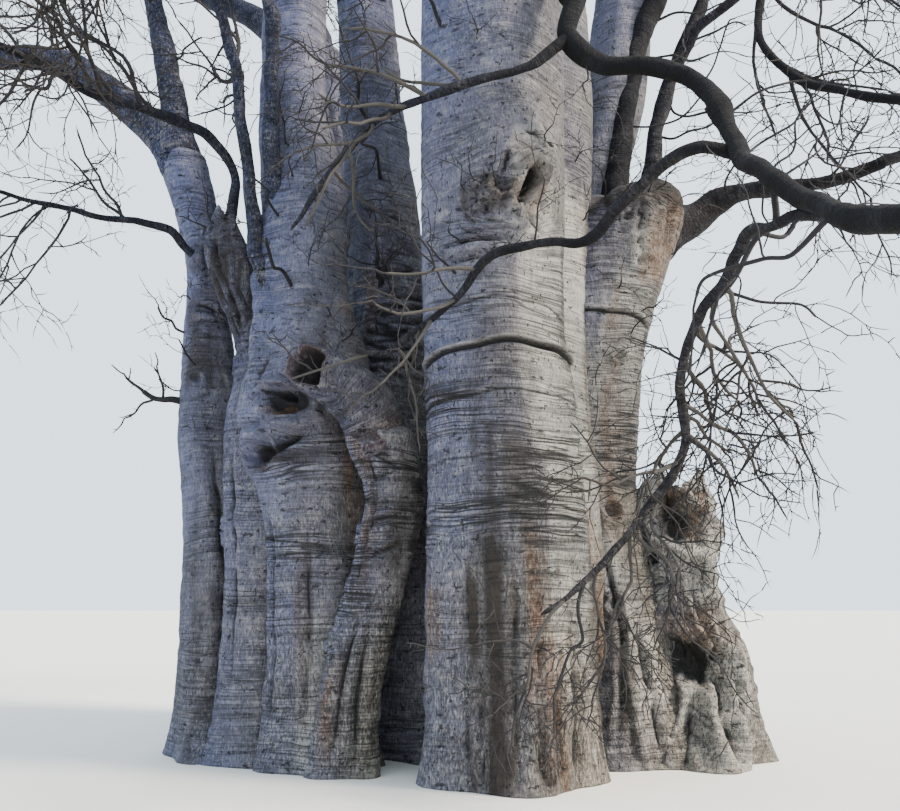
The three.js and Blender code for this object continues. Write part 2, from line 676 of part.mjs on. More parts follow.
// The lines of all limbs, with the radius that twigs stay off.
function limbLines() {
  const stemLines = Object.values(stems).map((stem) => {
    const knots = stem.line.map((row) => row[0]);
    const rows = stem.line.map((row) => row.slice(1));
    return ringHeights(knots[knots.length - 1]).map((height) => {
      const [x, y, radius] = along(knots, rows, height);
      return [x, y, height, radius * (1 + lobeDepth) + stem.flare * Math.exp(-height / flareHeight)];
    });
  });
  return [...stemLines, ...Object.values(boughRows)];
}

// The masses of twigs, each in its own space
function buildMasses(tree, cutters) {
  const masses = [
    ...Object.entries(tipMasses).map(([name, mass], i) => ({ name, ...mass, seed: mix(101 + i) })),
    ...Object.entries(limbMasses).map(([name, mass], i) => ({ name, ...mass, seed: mix(501 + i) })),
  ];
  for (const mass of masses) mass.rows = mass.line ?? tipStem(mass, boughRows[mass.bough], mass.seed);
  const limbs = limbLines();
  for (const mass of masses) {
    const twigs = growTwigs(mass, masses, limbs).map(twigSolid);
    const whole = twigs.reduce((joined, twig) => joined.add(twig));
    tree.add(meshOf(mass.name, cutClear(whole, cutters), twigColour));
  }
}

const tree = new THREE.Group();
buildMasses(tree, buildLimbs(tree));

export default tree;
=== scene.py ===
import math

import bmesh
import bpy
import numpy as np
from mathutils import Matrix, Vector


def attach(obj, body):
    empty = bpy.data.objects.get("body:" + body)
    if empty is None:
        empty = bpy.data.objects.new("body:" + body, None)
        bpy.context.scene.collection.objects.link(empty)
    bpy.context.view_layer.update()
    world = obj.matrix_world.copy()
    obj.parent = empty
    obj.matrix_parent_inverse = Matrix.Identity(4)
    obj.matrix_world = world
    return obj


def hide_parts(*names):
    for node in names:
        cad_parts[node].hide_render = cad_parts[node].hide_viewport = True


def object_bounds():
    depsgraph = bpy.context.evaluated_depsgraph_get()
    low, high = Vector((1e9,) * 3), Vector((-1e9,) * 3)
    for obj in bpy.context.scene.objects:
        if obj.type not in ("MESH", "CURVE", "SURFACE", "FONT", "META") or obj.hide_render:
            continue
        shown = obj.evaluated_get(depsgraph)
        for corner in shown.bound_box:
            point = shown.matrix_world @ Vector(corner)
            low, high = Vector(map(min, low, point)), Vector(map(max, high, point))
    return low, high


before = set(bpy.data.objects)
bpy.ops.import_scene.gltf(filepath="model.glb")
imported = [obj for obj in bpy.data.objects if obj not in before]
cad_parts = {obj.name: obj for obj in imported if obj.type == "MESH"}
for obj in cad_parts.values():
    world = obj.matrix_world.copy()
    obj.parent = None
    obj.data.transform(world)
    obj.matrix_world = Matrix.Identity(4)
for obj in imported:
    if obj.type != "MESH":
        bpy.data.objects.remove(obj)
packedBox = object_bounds()
print("frame loaded,", len(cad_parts), "solids")

# Stems, front to back. line holds (height, x, y, radius) from the flat foot to the fork or tip.
# lobes and turn set the fluting, flare the root flare's width, cap the top's height.
# A swelling is (height, degrees from +X, stands out by, half height, half width).
stems = {
    "stem_front": {
        "line": [
            (0, 0.63, -1.05, 0.88), (1.8, 0.63, -1.06, 0.88), (3.7, 0.57, -1.15, 0.835),
            (4.8, 0.48, -1.22, 0.8), (7, 0.48, -1.3, 0.82), (9, 0.5, -1.45, 0.83), (10.4, 0.52, -1.52, 0.72),
        ],
        "lobes": 5, "turn": 0.9, "flare": 0.13,
        "swellings": [(6.65, 300, 0.09, 0.42, 0.42), (4.7, 270, -0.025, 0.5, 0.9)],
    },
    "stem_right": {
        "line": [
            (0, 2.08, 0, 0.64), (1.33, 2.03, 0.1, 0.53), (3, 1.87, 0.25, 0.49), (4.4, 1.84, 0.3, 0.6),
            (5.7, 1.96, 0.3, 0.77), (6.75, 2.22, 0.3, 0.79),
        ],
        "lobes": 4, "turn": 2.2, "flare": 0.19,
        "swellings": [(6.6, 330, 0.11, 0.5, 0.5)],
    },
    "stem_left_inner": {
        "line": [
            (0, -1.48, -0.3, 0.59), (2.3, -1.54, -0.2, 0.59), (3.6, -1.7, 0, 0.77), (4.6, -1.78, 0.05, 0.73),
            (5.7, -1.9, 0.2, 0.58), (7.1, -2, 0.35, 0.59), (8.8, -2.2, 0.6, 0.48), (10.5, -2.28, 0.8, 0.44),
        ],
        "lobes": 5, "turn": 0.2, "flare": 0.15,
        "swellings": [(3.95, 245, 0.11, 0.38, 0.42), (4.3, 205, 0.08, 0.35, 0.3)],
    },
    "stem_stub": {
        "line": [
            (0, -1.13, -0.85, 0.3), (1, -1.04, -0.83, 0.3), (1.9, -0.83, -0.78, 0.355),
            (2.9, -0.63, -0.77, 0.37), (3.6, -0.76, -0.86, 0.385),
        ],
        "lobes": 3, "turn": 1.4, "flare": 0.13,
        "swellings": [(3.45, 200, 0.06, 0.26, 0.26)],
    },
    "stem_front_right": {
        "line": [
            (0, 1.18, 0.05, 0.64), (2.6, 1.2, -0.15, 0.6), (5, 1.11, -0.2, 0.56), (6.9, 1.11, -0.1, 0.7),
            (9.2, 1.18, 0.05, 0.7), (11, 1.25, 0.15, 0.54),
        ],
        "lobes": 4, "turn": 0.6, "flare": 0.12,
    },
    "stem_left_outer": {
        "line": [
            (0, -2.72, 0.42, 0.56), (2.3, -2.86, 0.5, 0.49), (3.9, -3.1, 0.6, 0.43), (5.1, -3.29, 0.78, 0.335),
            (6.4, -3.41, 0.8, 0.265), (7.3, -3.6, 0.8, 0.315), (7.9, -3.78, 0.8, 0.32),
        ],
        "lobes": 4, "turn": 1.1, "flare": 0.17,
    },
    "buttress_right": {
        "line": [
            (0, 2.76, 0.15, 0.76), (0.9, 2.94, 0.28, 0.62), (1.9, 2.78, 0.25, 0.52), (3.2, 2.76, 0.3, 0.38),
        ],
        "lobes": 5, "turn": 0.5, "flare": 0.23, "cap": 0.2,
        "swellings": [(0.9, 285, -0.14, 0.36, 0.33), (2.6, 330, 0.09, 0.42, 0.3)],
    },
    "stem_left_pollard": {
        "line": [
            (0, -2.28, -0.06, 0.43), (2, -2.28, 0, 0.4), (3.9, -2.5, 0.25, 0.33), (4.9, -2.54, 0.3, 0.24),
            (5.8, -2.76, 0.3, 0.3), (6.7, -3.06, 0.3, 0.275),
        ],
        "lobes": 3, "turn": 2.6, "flare": 0.15, "cap": 0.3,
    },
    "stem_middle": {
        "line": [
            (0, 0, 0.6, 0.98), (1.8, -0.35, 0.65, 0.79), (4.4, -0.84, 0.8, 0.59), (5.9, -0.86, 1, 0.57),
            (8.3, -1.1, 1.3, 0.5), (11.1, -1.35, 1.6, 0.43),
        ],
        "lobes": 5, "turn": 1.9, "flare": 0.08,
    },
    "stem_back_left": {
        "line": [
            (0, -1.45, 1.6, 0.88), (2.5, -1.6, 1.75, 0.74), (5.5, -1.75, 2, 0.64), (8.5, -2, 2.4, 0.52),
            (10.9, -2.3, 2.8, 0.41),
        ],
        "lobes": 4, "turn": 0.3, "flare": 0.2,
    },
    "stem_back_right": {
        "line": [
            (0, 1.85, 1.45, 0.88), (2.2, 1.85, 1.4, 0.71), (5, 1.9, 1.1, 0.6), (7.4, 2.05, 0.95, 0.5),
            (9.2, 2.45, 1, 0.455), (10.9, 2.65, 1.1, 0.4),
        ],
        "lobes": 5, "turn": 2.8, "flare": 0.19,
    },
    "stem_back": {
        "line": [
            (0, 0.35, 2.3, 0.96), (2.5, 0.35, 2.4, 0.81), (5.5, 0.4, 2.6, 0.72), (8.5, 0.5, 2.9, 0.6),
            (11.2, 0.6, 3.2, 0.45),
        ],
        "lobes": 5, "turn": 0.7, "flare": 0.22,
    },
}
# Boughs that bend in their own way: (x, y, z, radius) from the stem to the tip.
bentBoughs = {
    "bough_stub": [
        (-0.76, -0.84, 3.5, 0.33), (-0.98, -0.98, 3.95, 0.35), (-1.3, -1.1, 4.2, 0.3),
        (-1.54, -1.19, 4.33, 0.25),
    ],
    "bough_left_arch": [
        (-3.7, 0.8, 7.6, 0.29), (-4.28, 0.7, 8.42, 0.265), (-5.2, 0.5, 9.12, 0.205), (-5.75, 0.25, 9.2, 0.175),
        (-6.3, -0.1, 8.95, 0.15), (-6.85, -0.45, 8.56, 0.12),
    ],
    "bough_left_rise": [
        (-3.78, 0.8, 7.7, 0.27), (-4.04, 0.85, 8.91, 0.19), (-4.24, 0.9, 9.75, 0.16), (-4.5, 1, 10.66, 0.142),
        (-4.95, 1.2, 12.1, 0.11),
    ],
    "bough_right_sweep": [
        (0.98, -1.85, 9.3, 0.15), (1.34, -2.3, 8.23, 0.118), (1.24, -2.4, 7.69, 0.108), (1.6, -2.4, 7.38, 0.1),
        (2.1, -2.5, 7.29, 0.098), (2.46, -2.7, 7.05, 0.098), (2.6, -3, 6.6, 0.098), (2.55, -3.5, 5.95, 0.095),
        (2.5, -4.3, 5.21, 0.09), (2.47, -5.1, 4.6, 0.08), (2.43, -5.9, 4.09, 0.076), (2.56, -6.7, 3.7, 0.072),
        (2.9, -7.4, 3.5, 0.062),
    ],
    "bough_right_low": [
        (2.75, 0.3, 6.55, 0.3), (3.21, 0.25, 6.74, 0.2), (3.51, 0.2, 6.99, 0.165), (3.89, 0, 7.06, 0.13),
        (4.84, -0.4, 7, 0.092), (5.4, -0.65, 7.15, 0.076),
    ],
    "bough_right_dark": [
        (2.25, 0.45, 6.7, 0.19), (2.3, 0.55, 7.5, 0.165), (2.68, 0.7, 9.46, 0.155), (3.01, 0.7, 10.44, 0.145),
        (3.5, 0.5, 12, 0.115),
    ],
    "bough_right_rise": [
        (2.7, 0.65, 6.65, 0.17), (2.9, 0.9, 8, 0.118), (3.22, 1, 9.2, 0.108), (3.6, 1, 10.1, 0.102),
        (4.1, 1.1, 11.4, 0.085),
    ],
}
# Boughs above a fork: their stem, the degrees they head for, climb at and level off by, then
# their length and the radius at root and tip.
sweptBoughs = {
    "bough_front_left": ("stem_front", 232, 50, 24, 5.6, 0.4, 0.13),
    "bough_front_right": ("stem_front", 322, 44, 26, 5.5, 0.39, 0.13),
    "bough_front_top": ("stem_front", 268, 74, 10, 4.7, 0.4, 0.13),
    "bough_centre_top": ("stem_front_right", 10, 72, 12, 4.3, 0.39, 0.13),
    "bough_left_front": ("stem_left_inner", 205, 50, 26, 4.7, 0.29, 0.115),
    "bough_left_top": ("stem_left_inner", 140, 72, 8, 4.3, 0.31, 0.12),
    "bough_middle_top": ("stem_middle", 290, 80, 8, 4.6, 0.34, 0.12),
    "bough_back_left": ("stem_back_left", 168, 44, 26, 5.3, 0.31, 0.12),
    "bough_back_left_top": ("stem_back_left", 112, 62, 20, 4.9, 0.31, 0.12),
    "bough_back": ("stem_back", 84, 46, 24, 5.4, 0.35, 0.125),
    "bough_back_right": ("stem_back_right", 24, 46, 26, 5.3, 0.31, 0.12),
    "bough_back_right_top": ("stem_back_right", 70, 66, 16, 4.7, 0.3, 0.12),
}
# Masses of twigs that grow on from a bough's tip, one to each bough but the torn stub. stem is the
# length of the stem that grows on, spread that of the twigs it carries, reach how far they get from
# it, lift how much they turn upwards, first where on the stem they begin.
crownMass = {"stem": 3.0, "spread": 2.3, "reach": 2.5, "lift": 0.1, "first": 0.3}
ownTips = {  # where a mass differs from that
    "bough_left_arch": {"stem": 2.3, "spread": 1.9, "lift": 0.03},
    "bough_right_sweep": {"stem": 1.9, "spread": 1.6, "lift": 0.05},
    "bough_right_low": {"spread": 2},
    "bough_front_left": {"name": "twigs_front_left_top"},
}
# Masses whose stem is a slender limb with a bend of its own: (x, y, z, radius) from its root.
sideMass = {"spread": 1.3, "reach": 1.5, "lift": 0, "first": 0.3}
limbMasses = {
    "twigs_crossing": {
        **sideMass, "side": 5, "first": 0.35,
        "line": [
            (2.53, -3.7, 5.66, 0.06), (2.21, -3.7, 5.69, 0.058), (1.73, -3.4, 5.47, 0.054),
            (1.31, -3, 5.15, 0.05), (0.78, -2.75, 5.21, 0.046), (0.4, -2.6, 5.11, 0.044),
            (-0.1, -2.4, 4.62, 0.04), (-0.67, -2.15, 4.31, 0.032), (-1.04, -2.05, 4.31, 0.024),
        ],
    },
    "twigs_hanging_right": {
        **sideMass, "side": 6, "lift": -0.12,
        "line": [
            (2.43, -6.05, 4.01, 0.054), (2.5, -5, 4.44, 0.048), (2.42, -3.8, 4.66, 0.048),
            (2.28, -3.1, 4.39, 0.05), (2.21, -2.6, 3.87, 0.05), (2.24, -2.35, 3.18, 0.047),
            (1.93, -2.25, 2.7, 0.042), (1.23, -2.4, 2.03, 0.034), (0.84, -2.45, 1.71, 0.022),
        ],
    },
    "twigs_high_right": {
        **sideMass, "side": 5, "spread": 1.9, "reach": 2.1, "first": 0.35,
        "line": [
            (3.08, -3.54, 12.48, 0.084), (3.42, -2.85, 11.1, 0.068), (3.64, -2.15, 9.3, 0.056),
            (3.38, -2.3, 7.76, 0.046), (3.53, -2.7, 7, 0.044), (4.03, -3.7, 6.16, 0.04), (4.7, -4.5, 5.8, 0.03),
        ],
    },
    "twigs_fork_right": {
        **sideMass, "side": 4, "spread": 1.8, "reach": 2, "lift": 0.06, "first": 0.35,
        "line": [
            (3.25, 0.98, 9.3, 0.084), (3.56, 0.45, 9.74, 0.078), (4.05, 0.15, 10.15, 0.068),
            (5.2, -0.15, 10.9, 0.054), (6.3, -0.5, 11.3, 0.038),
        ],
    },
    "twigs_left_dark": {
        **sideMass, "side": 5, "spread": 1.8, "reach": 2,
        "line": [
            (-2.96, 0.24, 6.7, 0.084), (-2.79, 0.02, 7.23, 0.068), (-3.08, -0.3, 7.6, 0.065),
            (-3.61, -0.8, 7.67, 0.062), (-4.3, -1.4, 7.7, 0.054), (-5.16, -2.4, 7.79, 0.04),
        ],
    },
    "twigs_left_low": {
        **sideMass, "side": 4, "spread": 1.8, "reach": 2,
        "line": [
            (-3.43, 0.65, 6.3, 0.062), (-3.75, 0.18, 6.6, 0.05), (-4.5, -0.2, 6.66, 0.044),
            (-5.02, -0.5, 6.67, 0.036), (-5.65, -0.9, 6.7, 0.026),
        ],
    },
    "twigs_left_inner": {
        **sideMass, "side": 4, "spread": 1.9, "reach": 2.1, "lift": 0.06, "first": 0.5,
        "line": [
            (-2.25, -0.06, 5.35, 0.124), (-2.44, -0.12, 6.24, 0.106), (-2.6, -0.12, 7, 0.09),
            (-2.8, -0.12, 8, 0.082), (-2.88, -0.15, 8.9, 0.074), (-3.15, -0.3, 9.7, 0.062),
            (-3.7, -0.7, 10.8, 0.042),
        ],
    },
    "twigs_left_upright": {
        **sideMass, "side": 4, "spread": 1.9, "reach": 2.1, "lift": 0.06, "first": 0.45,
        "line": [
            (-2.33, 0.12, 6.5, 0.115), (-2.39, -0.14, 7.5, 0.107), (-2.39, -0.15, 9, 0.102),
            (-2.38, -0.35, 9.93, 0.092), (-2.35, -1, 11.3, 0.06), (-2.3, -1.6, 12.3, 0.042),
        ],
    },
    "twigs_front_left": {
        **sideMass, "side": 6, "lift": -0.08, "first": 0.2,
        "line": [
            (1.24, -2.43, 7.65, 0.066), (0.9, -2.5, 7.35, 0.054), (0, -2.45, 7.11, 0.05),
            (-0.71, -2.15, 6.92, 0.047), (-1.11, -1.85, 6.73, 0.043), (-1.59, -1.4, 6.19, 0.034),
            (-1.84, -1.33, 5.9, 0.024),
        ],
    },
}

flareHeight = 0.48  # the root flare fades over this height
lobeDepth = 0.035  # depth of the fluting, as a share of the radius
capHeight = 0.45  # of a stem's rounded top, as a share of its radius
boughPieces = 4  # straight pieces that a swept bough is bent from
boughSway = 9  # degrees that a swept bough strays from its heading
boughTaper = 0.65  # how soon it thins
firstSeeds = {"stems": 11, "tips": 101, "boughs": 411, "limbs": 501, "limbBark": 811, "shoots": 901}
seedStep = 20  # from the bark of one stem or bough to the next


# Seeded numbers: the same seed always gives the same tree
def mix(number):
    mixed = np.asarray(number, dtype=np.uint32)
    mixed = (mixed ^ (mixed >> np.uint32(16))) * np.uint32(0x7FEB352D)
    mixed = (mixed ^ (mixed >> np.uint32(15))) * np.uint32(0x846CA68B)
    return mixed ^ (mixed >> np.uint32(16))


def seedOf(seed, count):
    return mix(seed + np.uint32((count + 1) * 0x9E3779B9 % 2**32))


def draw(seed, count):
    return seedOf(seed, count) / 2.0**32


def cellValue(cells, seed):  # from -1 to 1 for each whole-numbered cell
    x, y, z = cells.astype(np.uint32).T
    spot = x * np.uint32(73856093) ^ y * np.uint32(19349663) ^ z * np.uint32(83492791)
    return mix(spot + np.uint32(seed)) / 2.0**31 - 1


def softNoise(points, size, seed):  # smooth hills about size metres apart, from -1 to 1
    spots = points / np.asarray(size, dtype=float)
    corner = np.floor(spots).astype(np.int64)
    part = spots - corner
    part = part * part * (3 - 2 * part)
    total = np.zeros(len(points))
    for x in (0, 1):
        for y in (0, 1):
            for z in (0, 1):
                share = np.where((x, y, z), part, 1 - part).prod(axis=1)
                total += share * cellValue(corner + (x, y, z), seed)
    return total


def smoothStep(low, high, value):
    part = np.clip((value - low) / (high - low), 0, 1)
    return part * part * (3 - 2 * part)


def lengthOf(vectors):
    return np.linalg.norm(vectors, axis=-1, keepdims=True)


def lineAt(knots, rows, places):  # the smooth line through rows, one row to each knot
    knots, rows = np.asarray(knots, dtype=float), np.asarray(rows, dtype=float)
    order = np.arange(len(knots))
    before, after = np.maximum(order - 1, 0), np.minimum(order + 1, len(knots) - 1)
    slopes = (rows[after] - rows[before]) / (knots[after] - knots[before])[:, None]
    i = np.searchsorted(knots[1:-1], places)
    span = (knots[i + 1] - knots[i])[:, None]
    u = (np.asarray(places) - knots[i])[:, None] / span
    start = (2 * u**3 - 3 * u**2 + 1) * rows[i] + (u**3 - 2 * u**2 + u) * span * slopes[i]
    return start + (3 * u**2 - 2 * u**3) * rows[i + 1] + (u**3 - u**2) * span * slopes[i + 1]


def chordKnots(rows):  # distances along a limb at which its rows stand
    chords = lengthOf(np.diff(np.asarray(rows, dtype=float)[:, :3], axis=0))[:, 0]
    return np.concatenate([[0], np.cumsum(chords)])


def sweptRows(stem, toward, climb, bend, length, root, tip):  # a bough that sweeps up from its stem's fork
    height, x, y, _ = stems[stem]["line"][-1]
    place = np.array([x, y, height - root * 0.5])
    rows = [(*place, root)]
    for i in range(boughPieces):
        rise = math.radians(climb - bend * i / (boughPieces - 1))
        heading = math.radians(toward + boughSway * math.sin(2.1 * i + toward))
        way = (math.cos(rise) * math.cos(heading), math.cos(rise) * math.sin(heading), math.sin(rise))
        place = place + np.array(way) * length / boughPieces
        part = ((i + 1) / boughPieces) ** boughTaper
        rows.append((*place, root + (tip - root) * part))
    return rows


boughRows = {**bentBoughs, **{name: sweptRows(*bough) for name, bough in sweptBoughs.items()}}


def stemLine(stem, heights):  # a stem's x, y and radius at each height
    return lineAt([row[0] for row in stem["line"]], [row[1:] for row in stem["line"]], heights)


def barkRadius(stem, radius, height, turn):  # how far a stem's bark stands from its axis
    lobe = np.cos(stem["lobes"] * turn + stem["turn"])
    out = radius * (1 + lobeDepth * lobe)
    out = out + stem["flare"] * np.exp(-height / flareHeight) * (0.6 + 0.4 * lobe)
    for level, degrees, stand, tall, wide in stem.get("swellings", ()):
        aside = aroundFrom(turn, degrees) * radius / wide
        out = out + stand * np.exp(-(((height - level) / tall) ** 2) - aside**2)
    return out


def aroundFrom(turn, degrees):  # the angle from degrees to turn, the short way round
    angle = turn - math.radians(degrees)
    return np.arctan2(np.sin(angle), np.cos(angle))


# What weather and growth did to each stem's bark, with the light and shade painted on it. Places are (height,
# degrees from +X).
# rings and rough: (from height, to height, strength). belts: a lip over a groove that runs round
# the stem: (height, degrees, half length, sag, lip, groove); the lip's top gets a painted highlight and the
# groove painted shade. knots: (height, degrees, half height, half width, hole, collar, wrinkles, slant), with
# painted shade in the hole and creases. folds: (height, degrees, height, degrees, half width, depth), a ridge
# where depth is negative, with painted shade in the cleft. wrinkles: that many folds under each other: (height,
# degrees, count, gap, degrees across, depth, tilt). patches, by finish: (height, degrees, half height, half
# width, strength); the dark patches are painted shade.
plainBark = {
    "rings": [(0, 12, 0.45)],
    "rough": [(0, 1.5, 0.8), (1.5, 3.0, 0.35), (3.0, 12, 0.12)],
    "belts": [],
    "knots": [],
    "folds": [],
    "wrinkles": [],
    "patches": {},
    "swell": 0.03,
    "seedWrinkles": 5,
    "seedKnots": 4,
    "rows": 0.035,
    "sides": 96,
    "fineTo": 7.6,  # up to here the rows are "rows" apart, and above it wider by "coarser"
    "coarser": 2.2,
    "dome": (8, 86, 9),  # a rounded top: degrees from, to, and in how many rows
    "hollowTop": 0,  # how deep a broken top is hollow, and how ragged its rim is
    "raggedTop": 0,
}
